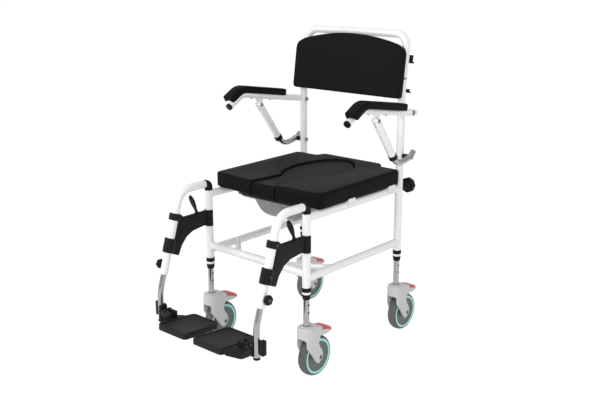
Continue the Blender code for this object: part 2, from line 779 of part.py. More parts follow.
def hanger_bracket(side, sign):
    x = sign * LEG_X
    upper = down_the_hanger(CLAMPS[0][0] + CLAMP_LIP)
    lower = down_the_hanger(CLAMPS[-1][1] + CLAMP_LIP)
    web = [
        (-LEG_Y - TUBE_R, BRACKET_TOP_Z - 0.0005),
        (BRACKET_TOP_Y, BRACKET_TOP_Z - 0.002),
        (upper.x + 0.016, upper.y - 0.002),
        upper,
        lower,
        *BRACKET_ARCH,
        (-LEG_Y - TUBE_R, SADDLE_BOTTOM_Z + 0.005),
    ]
    half = BRACKET_WEB / 2
    bracket = slab(f"hanger_bracket_{side}", web, x - half, x + half, BLACK, YZ)
    join(bracket, rod("saddle", (x, -LEG_Y, SADDLE_BOTTOM_Z), (x, -LEG_Y, BRACKET_TOP_Z), SADDLE_R))
    for start, end in CLAMPS:
        join(bracket, hanger_rod("clamp", x, start, end, CLAMP_R))
    low, high = SADDLE_BOTTOM_Z - PAST, BRACKET_TOP_Z + PAST
    behind = block("behind", (x - PAST, -LEG_Y + 0.002, low), (x + PAST, -LEG_Y + PAST, high))
    leg_space = rod("leg_space", (x, -LEG_Y, low), (x, -LEG_Y, high), TUBE_R + 2 * GAP)
    tube_space = hanger_rod("tube_space", x, CLAMPS[0][0] - PAST, CLAMPS[-1][1] + PAST, TUBE_R + 2 * GAP)
    notch = cross_rod(
        "notch", x - PAST, x + PAST, LEVER_PIVOT_Y, LEVER_PIVOT_Z, LEVER_BARREL_R + GAP, sides=CAST
    )
    return cut(bracket, behind, leg_space, tube_space, notch)


def latch_lever(side, sign):
    x = sign * LEG_X
    half = [(0.003, 0), (0.003, 0.018), (0.006, 0.030), (0.006, 0.050), (0.0035, LEVER_LENGTH)]
    outline = half + mirrored(reversed(half), -1)
    lean = Matrix.Rotation(math.radians(LEVER_LEAN), 4, "X")
    place = Matrix.Translation((x, LEVER_PIVOT_Y, LEVER_PIVOT_Z)) @ lean
    thin = LEVER_THICKNESS / 2
    lever = slab(f"latch_lever_{side}", outline, -thin, thin, BLACK, XZ, place)
    pivot_y, pivot_z = LEVER_PIVOT_Y, LEVER_PIVOT_Z
    barrel = cross_rod("barrel", x - 0.006, x + 0.006, pivot_y, pivot_z, LEVER_BARREL_R, sides=14)
    return join(lever, barrel)


def height_knob(side, sign):
    y, z = down_the_hanger(HEIGHT_KNOB_DOWN)
    face = LEG_X + TUBE_R + HEIGHT_KNOB_NECK
    low_x, high_x = both_ways(sign, face, face + HEIGHT_KNOB_THICKNESS)
    knob = slab(
        f"height_knob_{side}", lobed(HEIGHT_KNOB_R), low_x, high_x, BLACK, YZ, Matrix.Translation((0, y, z))
    )
    low_x, high_x = both_ways(sign, LEG_X + TUBE_R + GAP, face + 0.002)
    join(knob, cross_rod("neck", low_x, high_x, y, z, HEIGHT_KNOB_NECK_R))
    low_x, high_x = both_ways(sign, LEG_X + EXTENSION_R + 2 * GAP, face + 0.004)
    return join(knob, cross_rod("bolt", low_x, high_x, y, z, KNOB_BOLT_R, sides=12))


def extension_tube(side, sign):
    x = sign * LEG_X
    corner = (HANGER_CORNER_Y - EXTENSION_Y) / math.sin(math.radians(HANGER_TILT))
    bend = tangent(EXTENSION_BEND_R, HANGER_TILT)
    start = HANGER_LENGTH - EXTENSION_INSIDE
    drop = down_the_hanger(corner).y - bend - EXTENSION_FOOT_Z
    moves = [(corner - bend - start,), (EXTENSION_BEND_R, HANGER_TILT), (drop,)]
    path = trace(down_the_hanger(start), HANGER_HEADING, moves, 6)
    pipe = tube(f"extension_tube_{side}", in_side_plane(path, x), EXTENSION_R, CHROME)
    bore = tube("extension_bore", in_side_plane(past_the_ends(path), x), EXTENSION_R - 0.0015, sides=12)
    return cut(pipe, bore)


def footplate_clamp(side, sign):
    x = sign * LEG_X
    lug = FOOT_LUG_WIDTH / 2
    y = EXTENSION_Y
    clamp = rod(
        f"footplate_clamp_{side}", (x, y, FOOT_CLAMP_LOW_Z), (x, y, FOOT_CLAMP_TOP_Z), FOOT_CLAMP_R, BLACK
    )
    rise = FOOT_LUG_HEIGHT / 2
    arm_low = (FOOT_HINGE_X, y - lug, FOOT_HINGE_Z - rise)
    arm_high = (LEG_X, y + lug, FOOT_HINGE_Z + rise)
    depth = FOOT_BLOCK_DEPTH / 2
    block_y = y - FOOT_BLOCK_FORWARD
    block_low = (LEG_X + 0.004, block_y - depth, FOOT_CLAMP_LOW_Z + 0.001)
    block_high = (LEG_X + FOOT_BLOCK_X, block_y + depth, FOOT_BLOCK_TOP_Z)
    hinge_x = sign * FOOT_HINGE_X
    pin = lug + FOOT_EAR_WIDTH
    join(
        clamp,
        side_block("lug", sign, arm_low, arm_high),
        rod("lug_end", (hinge_x, y - lug, FOOT_HINGE_Z), (hinge_x, y + lug, FOOT_HINGE_Z), FOOT_LUG_R),
        side_block("block", sign, block_low, block_high),
        rod("pin", (hinge_x, y - pin, FOOT_HINGE_Z), (hinge_x, y + pin, FOOT_HINGE_Z), FOOT_PIN_R, sides=12),
    )
    low, high = FOOT_CLAMP_LOW_Z - PAST, FOOT_BLOCK_TOP_Z + PAST
    return cut(clamp, rod("bore", (x, y, low), (x, y, high), EXTENSION_R + GAP, sides=24))


def footplate(side, sign):
    tilt = Matrix.Rotation(math.radians(-PLATE_TILT), 4, "X")
    place = Matrix.Translation((0, EXTENSION_Y, PLATE_TOP_Z)) @ tilt
    front, back = PLATE_FRONT_Y - EXTENSION_Y, PLATE_BACK_Y - EXTENSION_Y

    def plate_outline(inset, radius):
        corners = [
            (PLATE_INNER_X + inset, front + inset),
            (PLATE_OUTER_X - inset, front + inset),
            (PLATE_OUTER_X - PLATE_TAPER - inset, back - inset),
            (PLATE_INNER_X + PLATE_TAPER + inset, back - inset),
        ]
        return mirrored(rounded(corners, radius), sign)

    outline = plate_outline(0, PLATE_CORNER_R)
    plate = slab(f"footplate_{side}", outline, -PLATE_THICKNESS, 0, BLACK, XY, place)
    root, waist = PLATE_OUTER_X - PLATE_CORNER_R, PLATE_OUTER_X + 0.010
    wing = [
        (root, WING_ROOT[0]),
        (waist, WING_WAIST[0]),
        (WING_END_X, WING_END[0]),
        (WING_END_X, WING_END[1]),
        (waist, WING_WAIST[1]),
        (root, WING_ROOT[1]),
    ]
    join(plate, slab("wing", mirrored(wing, sign), -WING_LOW, -PLATE_RECESS - 0.001, None, XY, place))
    hinge_x = sign * FOOT_HINGE_X
    inner_y = FOOT_LUG_WIDTH / 2 + GAP
    outer_y = FOOT_LUG_WIDTH / 2 + FOOT_EAR_WIDTH
    for way in (-1, 1):
        low_y, high_y = sorted((EXTENSION_Y + way * inner_y, EXTENSION_Y + way * outer_y))
        ear_low = (PLATE_OUTER_X + 0.008, low_y, FOOT_HINGE_Z - 0.0105)
        ear_high = (FOOT_HINGE_X, high_y, FOOT_HINGE_Z + 0.0105)
        join(plate, side_block("ear", sign, ear_low, ear_high))
        start = (hinge_x, low_y, FOOT_HINGE_Z)
        join(plate, rod("ear_end", start, (hinge_x, high_y, FOOT_HINGE_Z), FOOT_BARREL_R))
    recess = slab("recess", plate_outline(PLATE_RIM, 0.010), -PLATE_RECESS, PAST, None, XY, place)
    start = (hinge_x, EXTENSION_Y - 0.03, FOOT_HINGE_Z)
    end = (hinge_x, EXTENSION_Y + 0.03, FOOT_HINGE_Z)
    return cut(plate, recess, rod("pin_hole", start, end, FOOT_PIN_R + GAP, sides=12))


def footrest(side, sign):
    x = sign * LEG_X
    knob_y, knob_z = down_the_hanger(HEIGHT_KNOB_DOWN)
    mouth_y, mouth_z = down_the_hanger(HANGER_LENGTH)
    swing = pivot(f"hanger_swing_{side}", (x, -LEG_Y, LEG_TOP_Z))
    lever = pivot(f"lever_pin_{side}", (x, LEVER_PIVOT_Y, LEVER_PIVOT_Z), swing)
    knob = pivot(f"height_knob_axis_{side}", (x, knob_y, knob_z), swing)
    slide = pivot(f"extension_slide_{side}", (x, mouth_y, mouth_z), swing)
    flip = pivot(f"footplate_pin_{side}", (sign * FOOT_HINGE_X, EXTENSION_Y, FOOT_HINGE_Z), slide)
    carry(swing, hanger_tube(side, sign), hanger_bracket(side, sign))
    carry(lever, latch_lever(side, sign))
    carry(knob, height_knob(side, sign))
    carry(slide, extension_tube(side, sign), footplate_clamp(side, sign))
    carry(flip, footplate(side, sign))


# Armrests

ARM_HEADING = 180 - ARM_RISE
ARM_BORE_R = ARM_TUBE_R - 0.0015
BRACE_PIVOT = Vector((BRACE_PIVOT_Y, BRACE_PIVOT_Z))


def along_the_arm(distance):
    """A point (y, z) on the arm tube's long stretch, this far in front of its pivot."""
    return Vector((LEG_Y, ARM_PIVOT_Z)) + heading_of(ARM_HEADING) * distance


def arm_path(start, short, step):
    bend = tangent(ARM_BEND_R, ARM_BEND)
    moves = [(ARM_LENGTH - start - bend,), (ARM_BEND_R, ARM_BEND), (ARM_FRONT - bend - short,)]
    return trace(along_the_arm(start), ARM_HEADING, moves, step)


def bolt_through(sign, y, z, nut):
    """Spacer and bolt from the post's outer face to outside the arm, with its head, and its nut if asked."""
    low_x, high_x = both_ways(sign, LEG_X + TUBE_R + GAP, ARM_X - 0.005)
    made = [cross_rod("spacer", low_x, high_x, y, z, ARM_SPACER_R)]
    low_x, high_x = both_ways(sign, ARM_X + 0.004, ARM_X + ARM_TUBE_R + BOLT_HEAD)
    made.append(cross_rod("head", low_x, high_x, y, z, BOLT_HEAD_R, sides=12))
    inner = LEG_X - TUBE_R - GAP
    if nut:
        low_x, high_x = both_ways(sign, inner - BOLT_HEAD / 2, ARM_X + ARM_TUBE_R)
        made.append(cross_rod("bolt", low_x, high_x, y, z, ARM_BOLT_R, sides=12))
        low_x, high_x = both_ways(sign, inner - BOLT_HEAD, inner)
        made.append(cross_rod("nut", low_x, high_x, y, z, BOLT_HEAD_R, sides=6))
    return made


def arm_tube(side, sign):
    x = sign * ARM_X
    arm = tube(f"arm_tube_{side}", in_side_plane(arm_path(-ARM_BEHIND, 0, 15), x), ARM_TUBE_R, WHITE)
    above = along_the_arm((LEG_Y - BRACE_PIVOT_Y) / math.cos(math.radians(ARM_RISE))).y
    tab = rounded(
        [
            (BRACE_PIVOT_Y - TAB_R, BRACE_PIVOT_Z - TAB_R),
            (BRACE_PIVOT_Y + TAB_R, BRACE_PIVOT_Z - TAB_R),
            (BRACE_PIVOT_Y + TAB_ROOT, above),
            (BRACE_PIVOT_Y - TAB_ROOT, above),
        ],
        [TAB_R * 0.9, TAB_R * 0.9, 0, 0],
    )
    half = TAB_THICKNESS / 2
    join(arm, slab("tab", tab, x - half, x + half, None, YZ))
    inner_path = arm_path(-ARM_BEHIND + 0.004, -0.004, 15)
    bore = tube("arm_bore", in_side_plane(inner_path, x), ARM_BORE_R, sides=10)
    low_x, high_x = both_ways(sign, ARM_X - 0.02, ARM_X + 0.02)
    hole = cross_rod("pin_hole", low_x, high_x, *BRACE_PIVOT, BRACE_PIN_R + GAP, sides=12)
    cut(arm, bore, hole)
    return join(arm, *bolt_through(sign, LEG_Y, ARM_PIVOT_Z, nut=True))


def arm_pad(side, sign):
    line = arm_path(PAD_START, PAD_FRONT_SHORT, 8)
    outline = beside(line, ARM_TUBE_R + GAP) + beside(line, PAD_TOP)[::-1]
    low_x, high_x = both_ways(sign, ARM_X - PAD_WIDTH / 2, ARM_X + PAD_WIDTH / 2)
    return soften(slab(f"arm_pad_{side}", outline, low_x, high_x, FOAM, YZ), 0.005)


def down_the_brace(distance, aside=0.0):
    along = heading_of(BRACE_HEADING)
    return BRACE_PIVOT + along * distance + Vector((-along.y, along.x)) * aside


def brace_rod(name, x, start, end, radius, finish=None, sides=CAST):
    (near,) = in_side_plane([down_the_brace(start)], x)
    (far,) = in_side_plane([down_the_brace(end)], x)
    return rod(name, near, far, radius, finish, sides)


def brace_tube(side, sign):
    x = sign * ARM_X
    brace = brace_rod(f"brace_tube_{side}", x, -BRACE_HEAD, BRACE_LENGTH, TUBE_R, WHITE, ROUND)
    bore = brace_rod("brace_bore", x, HOOK_TOP - 0.006, BRACE_LENGTH + 0.01, CHROME_R + GAP, sides=ROUND)
    wide = TUBE_R + 0.01
    corners = ((-0.03, -wide), (-0.03, wide), (BRACE_SLOT_DEPTH, wide), (BRACE_SLOT_DEPTH, -wide))
    outline = [down_the_brace(along, aside) for along, aside in corners]
    half = BRACE_SLOT / 2
    cut(brace, bore, slab("slot", outline, x - half, x + half, None, YZ))
    reach = TUBE_R + 0.001
    return join(brace, cross_rod("pin", x - reach, x + reach, *BRACE_PIVOT, BRACE_PIN_R, sides=12))


def hook_path(bends):
    straight = BRACE_LENGTH + 0.001 - HOOK_TOP
    return trace(down_the_brace(HOOK_TOP), BRACE_HEADING, [(straight,), *HOOK_BENDS[:bends]], 19)


def brace_hook(side, sign):
    x = sign * ARM_X
    path = hook_path(len(HOOK_BENDS))
    hook = tube(f"brace_hook_{side}", in_side_plane(path, x), CHROME_R, CHROME, sides=14)
    bore = tube("hook_bore", in_side_plane(past_the_ends(path), x), CHROME_R - 0.0015, sides=8)
    cut(hook, bore)
    return join(hook, *bolt_through(sign, *hook_path(2)[-1], nut=False))


def armrest(side, sign):
    x = sign * ARM_X
    flip = pivot(f"arm_flip_{side}", (x, LEG_Y, ARM_PIVOT_Z))
    brace = pivot(f"brace_pin_{side}", (x, *BRACE_PIVOT), flip)
    slide = pivot(f"hook_slide_{side}", (x, *down_the_brace(BRACE_LENGTH)), brace)
    carry(flip, arm_tube(side, sign), arm_pad(side, sign))
    carry(brace, brace_tube(side, sign))
    carry(slide, brace_hook(side, sign))


# Seat, insert and pan

def keyhole(grow):
    """An oval with a tongue that runs out past the seat's front edge."""
    tongue = TONGUE_HALF_WIDTH + grow
    wide, long = KEY_HALF_WIDTH + grow, KEY_HALF_LENGTH + grow
    start = -math.acos(tongue / wide)
    count = 20
    turns = [start + (math.pi - 2 * start) * k / count for k in range(count + 1)]
    oval = [(wide * math.cos(turn), KEY_Y + long * math.sin(turn)) for turn in turns]
    front = SEAT_FRONT_Y - PAST
    return oval + [(-tongue, front), (tongue, front)]


def seat_outline():
    half = [
        (SEAT_FRONT_X, SEAT_FRONT_Y),
        (SEAT_HALF_WIDTH, SEAT_FRONT_Y + SEAT_FRONT_BOW),
        (SEAT_HALF_WIDTH, SEAT_CORNER_BACK_Y),
        (SEAT_TAIL_X + 0.008, SEAT_CORNER_BACK_Y + 0.004),
        (SEAT_TAIL_X, SEAT_TAIL_Y),
    ]
    radii = [0.10, 0.030, 0.012, 0.008, 0.014]
    points = half + mirrored(reversed(half), -1)
    return rounded(points, radii + radii[::-1], 3)


def pan_guide(sign):
    outer = PAN_HALF_WIDTH + 2 * GAP
    lip = SEAT_LOW_Z - GUIDE_DROP
    profile = [
        (outer, SEAT_LOW_Z + 0.004),
        (outer + GUIDE_WALL, SEAT_LOW_Z + 0.004),
        (outer + GUIDE_WALL, lip),
        (outer - GUIDE_REACH, lip),
        (outer - GUIDE_REACH, lip + GUIDE_LIP),
        (outer, lip + GUIDE_LIP),
    ]
    return slab("guide", mirrored(profile, sign), -GUIDE_BACK_Y, -GUIDE_FRONT_Y, None, XZ)


def seat():
    body = slab("seat", seat_outline(), SEAT_LOW_Z, SEAT_TOP_Z, FOAM)
    soften(body, SEAT_EDGE)
    cut(
        body,
        slab("key_upper", keyhole(0), LEDGE_Z, SEAT_TOP_Z + PAST),
        slab("key_lower", keyhole(-LEDGE_WIDTH), SEAT_LOW_Z - PAST, LEDGE_Z + 0.01),
    )
    for side, sign in SIDES:
        join(body, pan_guide(sign))
        for start, end in SEAT_SADDLES:
            low = (LEG_X - SADDLE_INSIDE, start, SEAT_RAIL_Z - 0.002)
            high = (LEG_X + SADDLE_OUTSIDE, end, SEAT_LOW_Z + 0.004)
            join(body, side_block("saddle", sign, low, high))
        cut(body, rail_cope(sign * LEG_X, -LEG_Y, LEG_Y, SEAT_RAIL_Z))


def seat_insert():
    low = LEDGE_Z + GAP
    plug = slab("seat_insert", keyhole(-INSERT_SLACK), low, SEAT_TOP_Z - INSERT_BELOW, FOAM)
    soften(plug, 0.004)
    wide = KEY_HALF_WIDTH
    front_low = (-wide, SEAT_FRONT_Y - 2 * PAST, SEAT_LOW_Z - PAST)
    front_high = (wide, SEAT_FRONT_Y + 0.0015, SEAT_TOP_Z + PAST)
    cut(plug, block("front", front_low, front_high))
    half = TONGUE_HALF_WIDTH - LEDGE_WIDTH - INSERT_SLACK
    apron_low = (-half, SEAT_FRONT_Y + 0.0025, SEAT_LOW_Z)
    apron_high = (half, SEAT_FRONT_Y + 0.0025 + APRON_DEPTH, low + 0.010)
    join(plug, soften(block("apron", apron_low, apron_high), 0.003))
    carry(pivot("insert_lift", (0, KEY_Y, low)), plug)


def pan():
    """A flanged bucket: one outline drawn in to the rim's inner edge, then down to the floor."""
    top = SEAT_LOW_Z - GUIDE_DROP + GUIDE_LIP + GAP + PAN_WALL
    middle = (PAN_FRONT_Y + PAN_BACK_Y) / 2
    wide, long = 2 * PAN_HALF_WIDTH, PAN_BACK_Y - PAN_FRONT_Y
    corners = [(-wide / 2, -long / 2), (wide / 2, -long / 2), (wide / 2, long / 2), (-wide / 2, long / 2)]
    shape = bmesh.new()
    corners = [shape.verts.new((p[0], p[1], top)) for p in rounded(corners, PAN_CORNER_R, 5)]
    edges = [shape.edges.new((a, b)) for a, b in zip(corners, corners[1:] + corners[:1])]
    for inset, drop in ((PAN_RIM, 0), (PAN_DRAW, PAN_DEPTH)):
        grown = bmesh.ops.extrude_edge_only(shape, edges=edges)["geom"]
        loop = [piece for piece in grown if isinstance(piece, bmesh.types.BMVert)]
        edges = [edge for edge in shape.edges if edge.verts[0] in loop and edge.verts[1] in loop]
        now_wide = wide - 2 * inset
        now_long = long - 2 * inset
        bmesh.ops.scale(shape, verts=loop, vec=(now_wide / wide, now_long / long, 1))
        bmesh.ops.translate(shape, verts=loop, vec=(0, 0, -drop))
        wide, long = now_wide, now_long
    bmesh.ops.edgeloop_fill(shape, edges=edges)
    bmesh.ops.recalc_face_normals(shape, faces=shape.faces)
    mesh = bpy.data.meshes.new("pan")
    shape.to_mesh(mesh)
    shape.free()
    made = add("pan", mesh, PAN_GREY, Matrix.Translation((0, middle, 0)))
    wall = made.modifiers.new("wall", "SOLIDIFY")
    wall.thickness = PAN_WALL
    wall.offset = -1
    carry(pivot("pan_slide", (0, PAN_FRONT_Y, top)), made)


# Backrest and rear hand knobs

def backrest():
    lean = Matrix.Rotation(math.radians(-POST_LEAN), 4, "X")
    place = Matrix.Translation((0, LEG_Y, POST_BEND_Z)) @ lean
    half = [
        (BACK_HALF_WIDTH, BACK_LOW),
        (BACK_HALF_WIDTH, BACK_SHOULDER),
        (BACK_HALF_WIDTH - 0.017, BACK_SHOULDER + 0.013),
        (0.165, BACK_TOP - 0.019),
        (0.080, BACK_TOP - 0.004),
    ]
    outline = half + [(0, BACK_TOP)] + mirrored(reversed(half), -1)
    radii = [0.010, 0.012, 0, 0, 0]
    near = TUBE_R + GAP
    shape = rounded(outline, radii + [0] + radii[::-1], 3)
    rest = slab("backrest", shape, near, near + BACK_THICKNESS, FOAM, XZ, place)
    soften(rest, BACK_EDGE)
    for side, sign in SIDES:
        for low, high in HOOK_HEIGHTS:
            start = (LEG_X, -near - 0.006, low)
            end = (HOOK_OUTER_X, TUBE_R + 0.009, high)
            join(rest, side_block("hook", sign, start, end, None, place))
            start = (LEG_X + 0.005, TUBE_R + 0.006, low)
            end = (HOOK_OUTER_X - 0.001, HOOK_DEPTH, (low + high) / 2)
            join(rest, side_block("tail", sign, start, end, None, place))
        x = sign * LEG_X
        cut(rest, tube("post_space", in_side_plane(past_the_ends(post_path(), 0.05), x), TUBE_R + GAP))


def rear_knob(side, sign):
    x = sign * LEG_X
    face = LEG_Y + TUBE_R + GAP
    start = face + REAR_KNOB_NECK
    end = start + REAR_KNOB_THICKNESS
    place = Matrix.Translation((x, 0, SEAT_RAIL_Z))
    knob = slab(f"rear_knob_{side}", lobed(REAR_KNOB_R), -end, -start, BLACK, XZ, place)
    neck = rod("neck", (x, face, SEAT_RAIL_Z), (x, start + 0.005, SEAT_RAIL_Z), REAR_KNOB_NECK_R)
    bolt_start = (x, LEG_Y - TUBE_R + 2 * GAP, SEAT_RAIL_Z)
    join(knob, neck, rod("bolt", bolt_start, (x, start, SEAT_RAIL_Z), KNOB_BOLT_R, sides=12))
    carry(pivot(f"rear_knob_axis_{side}", (x, LEG_Y, SEAT_RAIL_Z)), knob)


def build():
    push_rail()
    front_crossbar()
    rear_crossbar()
    for side, sign in SIDES:
        front_leg(side, sign)
        rear_post(side, sign)
        side_rail(f"seat_rail_{side}", sign, SEAT_RAIL_Z)
        side_rail(f"lower_rail_{side}", sign, LOWER_RAIL_Z)
        rear_knob(side, sign)
        footrest(side, sign)
        armrest(side, sign)
        for end, way in ENDS:
            leg_and_caster(f"{end}_{side}", sign * LEG_X, way * LEG_Y)
    seat()
    seat_insert()
    pan()
    backrest()


build()
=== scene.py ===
"""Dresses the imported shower-commode chair: fine tubes, moulded foam, castings, fasteners and finishes.

It is laid out as an add-on and run as a script. Metres, +Z up, the front faces -Y."""

import json
from contextlib import contextmanager
from math import acos, atan2, ceil, copysign, cos, pi, radians, sin, sqrt, tan, tau

import bmesh
import bpy
from bmesh.types import BMEdge, BMFace, BMVert
from mathutils import Matrix, Vector

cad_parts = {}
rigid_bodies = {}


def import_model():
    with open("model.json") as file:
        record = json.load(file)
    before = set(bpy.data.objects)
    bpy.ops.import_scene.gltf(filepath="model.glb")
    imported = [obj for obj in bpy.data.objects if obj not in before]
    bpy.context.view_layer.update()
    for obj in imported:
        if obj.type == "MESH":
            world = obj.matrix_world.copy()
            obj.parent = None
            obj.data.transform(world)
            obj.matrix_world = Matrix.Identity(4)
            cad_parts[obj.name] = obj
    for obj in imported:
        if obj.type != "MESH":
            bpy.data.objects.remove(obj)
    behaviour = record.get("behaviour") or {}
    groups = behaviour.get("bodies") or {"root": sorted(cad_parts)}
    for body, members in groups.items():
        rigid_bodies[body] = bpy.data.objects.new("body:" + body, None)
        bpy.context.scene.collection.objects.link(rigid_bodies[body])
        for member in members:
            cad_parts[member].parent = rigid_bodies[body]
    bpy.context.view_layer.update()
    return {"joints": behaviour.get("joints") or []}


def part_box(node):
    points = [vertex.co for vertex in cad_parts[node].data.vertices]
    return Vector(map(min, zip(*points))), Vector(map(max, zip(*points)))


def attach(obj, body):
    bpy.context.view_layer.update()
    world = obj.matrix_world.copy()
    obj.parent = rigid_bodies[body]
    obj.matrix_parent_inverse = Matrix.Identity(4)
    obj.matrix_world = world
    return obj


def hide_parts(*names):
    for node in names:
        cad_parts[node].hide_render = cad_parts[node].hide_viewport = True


bl_info = {
    "name": "Shower-commode chair",
    "version": (1, 0, 0),
    "blender": (4, 5, 0),
    "location": "View3D > Sidebar > Chair",
    "description": "Builds the visible pieces of a wheeled shower-commode chair round its packed frame",
    "category": "Add Mesh",
}

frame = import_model()
JOINTS = {joint["name"]: joint for joint in frame["joints"]}
SIDES = (("left", -1), ("right", 1))
LEGS = [(f"{end}_{side}", sign) for end in ("front", "rear") for side, sign in SIDES]


def at(joint):
    return Vector(JOINTS[joint]["pos_m"])


def middle(node):
    low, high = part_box(node)
    return (low + high) / 2


def mm(*sizes):
    """Sizes or points given in millimetres."""
    return [tuple(n / 1000 for n in size) if isinstance(size, tuple) else size / 1000 for size in sizes]


# Frame; a place that a packed joint or node has is read from it, here and below
LEG_X, FRONT_Y, CROWN_TOP_Z = at("caster_swivel_front_right")
REAR_Y = at("caster_swivel_rear_right").y
TUBE_FOOT_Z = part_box("front_leg_right")[0].z
LEG_TOP_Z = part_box("front_leg_right")[1].z
TUBE_R = 0.0125
TUBE_BORE_R = 0.0110
GAP = 0.0003
SEAT_RAIL_Z = middle("seat_rail_right").z
LOWER_RAIL_Z = middle("lower_rail_right").z
CROSSBAR_Z = 0.336
CORNER_BRACE_R = 0.0095
CORNER_BRACE_X = 0.075
CORNER_BRACE_Y = -0.0209
POST_BEND_Z = 0.830
POST_LEAN = 7.8
POST_BEND_R = 0.150
POST_TAIL = 0.030
PUSH_RAIL_START = 0.020
PUSH_RAIL_RISE = 0.1731
PUSH_RAIL_BEND_R = 0.045

# Legs and casters
CHROME_R = 0.0095
CHROME_BORE_R = 0.0065
COLLAR_HEIGHT = 0.0165
LEG_TUBE_TOP_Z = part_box("leg_tube_front_right")[1].z
HOLE_R = 0.0035
HOLE_PITCH = 0.025
HOLE_DROP = 0.017
CLIP_LOW_Z = 0.281
CLIP_HEIGHT = 0.013
CROWN_R = 0.028
WHEEL_R = at("wheel_spin_front_right").z
TRAIL = at("wheel_spin_front_right").y - FRONT_Y
FORK_REAR = TRAIL + 0.022
FORK_TAPER = 0.0055
TAPER_START = 0.006
HOUSING_LOW_Z = 0.040
WHEEL_SPACE = 0.018
WHEEL_SPACE_R = WHEEL_R + 0.0045
ARCH_LOW_Z = 0.090
ARCH_TOP_Z = 0.134
PEDAL_Y = at("brake_pedal_press_front_right").y - FRONT_Y
PEDAL_Z = at("brake_pedal_press_front_right").z
PEDAL_HALF_WIDTH = 0.0188
PEDAL_SKIRTS = (0.0150, 0.0168)
PEDAL_TIP_START = 0.055
PEDAL_TIP_LENGTH = 0.057
PEDAL_TIP_TAPER = 0.55
PEDAL_TIP_CURVE = 2.6
PEDAL_CROWN = 0.0012

# Footrests
HANGER_Z = 0.542
HANGER_START_Y = -0.1615
HANGER_CORNER = Vector((-0.2663, HANGER_Z))
HANGER_BEND_R = 0.055
HANGER_TILT = 17.1
HANGER_TURN = 90 - HANGER_TILT
HANGER_HEADING = 180 + HANGER_TURN
HANGER_LENGTH = 0.2647
ELBOW_R = 0.0130
ELBOW_BEND_R = 0.0136
PIVOT_PIN_R = 0.0105
PIVOT_PIN_LOW_Z = 0.470
EXTENSION_R = 0.0092
EXTENSION_Y = at("footplate_flip_right").y
EXTENSION_FOOT_Z = 0.142
EXTENSION_OVERLAP = 0.030
EXTENSION_BEND_R = 0.130
CLAMP_R = 0.018
CLAMPS = ((0.073, 0.094), (0.151, 0.196))
BRACKET_TOP_Z = 0.456
BRACKET_HALF_THICKNESS = 0.0062
SADDLE_BOTTOM_Z = 0.403
SADDLE_R = 0.0161
LEVER = at("latch_lever_pull_right")
LEVER_LEAN = 23.5
HEIGHT_KNOB = at("height_knob_turn_right")
HEIGHT_KNOB_R = 0.015
HEIGHT_KNOB_FACE = TUBE_R + 0.0045
FOOT_HINGE = at("footplate_flip_right")
PLATE_TOP_Z = 0.168
PLATE_TILT = 4.3
PLATE_THICKNESS = 0.0190
PLATE_INNER_X = 0.014
PLATE_OUTER_X = 0.139
PLATE_FRONT_Y = -0.4334
PLATE_BACK_Y = -0.2884
PLATE_NARROWING = 0.005
PLATE_CORNER = 0.014
TREAD_INSET = 0.006
TREAD_DEPTH = 0.002
WEB_LOW_Z = -0.0175
WEB_DEEPENS = 0.020
HINGE_PIN_R = 0.003
HINGE_HALF_LENGTH = 0.0152
WING_X = 0.166

# Armrests
ARM = at("arm_flip_right")
ARM_TUBE_R = 0.011
ARM_RISE = 8.6
ARM_HEADING = 180 - ARM_RISE
ARM_BEHIND = 0.0285
ARM_LENGTH = 0.2704
ARM_BEND = 38.6
ARM_BEND_R = 0.040
ARM_FRONT = 0.0697
PAD_START = 0.064
PAD_HALF_WIDTH = 0.0215
PAD_TOP = 0.0293
PAD_FRONT_SHORT = 0.015
PAD_OUT = 0.009
PAD_SCREWS = (0.135, 0.226)
SPACER_R = 0.008
PIVOT_WASHER_R = 0.0078
BRACE = at("brace_swing_right")
BRACE_HEADING = -53.6
BRACE_LENGTH = 0.159
BRACE_BEHIND = 0.0115
CLEVIS_SLOT = 0.0025
CLEVIS_DEPTH = 0.022
HOOK_START = 0.100
HOOK_BENDS = ((0.054, 56.6), (0.160, 16.4), (0.0427, 34.6))
HOOK_END = 0.0045
HOOK_PIVOT_Z = 0.616

# Seat, insert, pan and backrest
SEAT_LOW_Z = 0.521
SEAT_TOP_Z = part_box("seat")[1].z
INSERT_TOP_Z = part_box("seat_insert")[1].z
INSERT_SUNK = 0.0035
SEAT_REAR_RISE = 0.0035
SEAT_RISE_LENGTH = 0.40
DISH_Y = 0.10
DISH_HALF_WIDTH = 0.19
DISH_HALF_LENGTH = 0.21
SEAT_HALF_WIDTH = 0.2215
SEAT_FRONT_Y = -0.1159
APRON_BACK_Y = -0.1000
KEY_HALF_WIDTH = 0.097
KEY_HALF_LENGTH = 0.1475
KEY_Y = 0.1516
TONGUE_HALF_WIDTH = 0.050
KEY_GAP = 0.0014
INSERT_GAP = 0.0016
LEDGE_Z = 0.538
LEDGE_WIDTH = 0.008
SEAT_CLIPS = mm((28.1, 62.1), (235.1, 273.1))
PAN_HALF_WIDTH = 0.127
PAN_FRONT_Y = -0.1059
PAN_BACK_Y = 0.2891
PAN_CORNER = 0.045
PAN_DEPTH = 0.0753
PAN_RIM = 0.014
PAN_EDGE = 0.004
BOWL_HALF_WIDTH = 0.118
BOWL_HALF_LENGTH = 0.186
BOWL_SQUARENESS = 0.68
PAN_WALL = 0.0025
PAN_TOP_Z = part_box("pan")[1].z
BACK_HALF_WIDTH = 0.2230
BACK_THICKNESS = 0.0225
BACK_LOW = -0.030
BACK_TOP = 0.1655
BACK_SHOULDER = 0.118
WRAP_START = 0.130

# Rear knobs
KNOB_R = 0.0255
KNOB_STAND = 0.030
KNOB_HEIGHT = 0.020

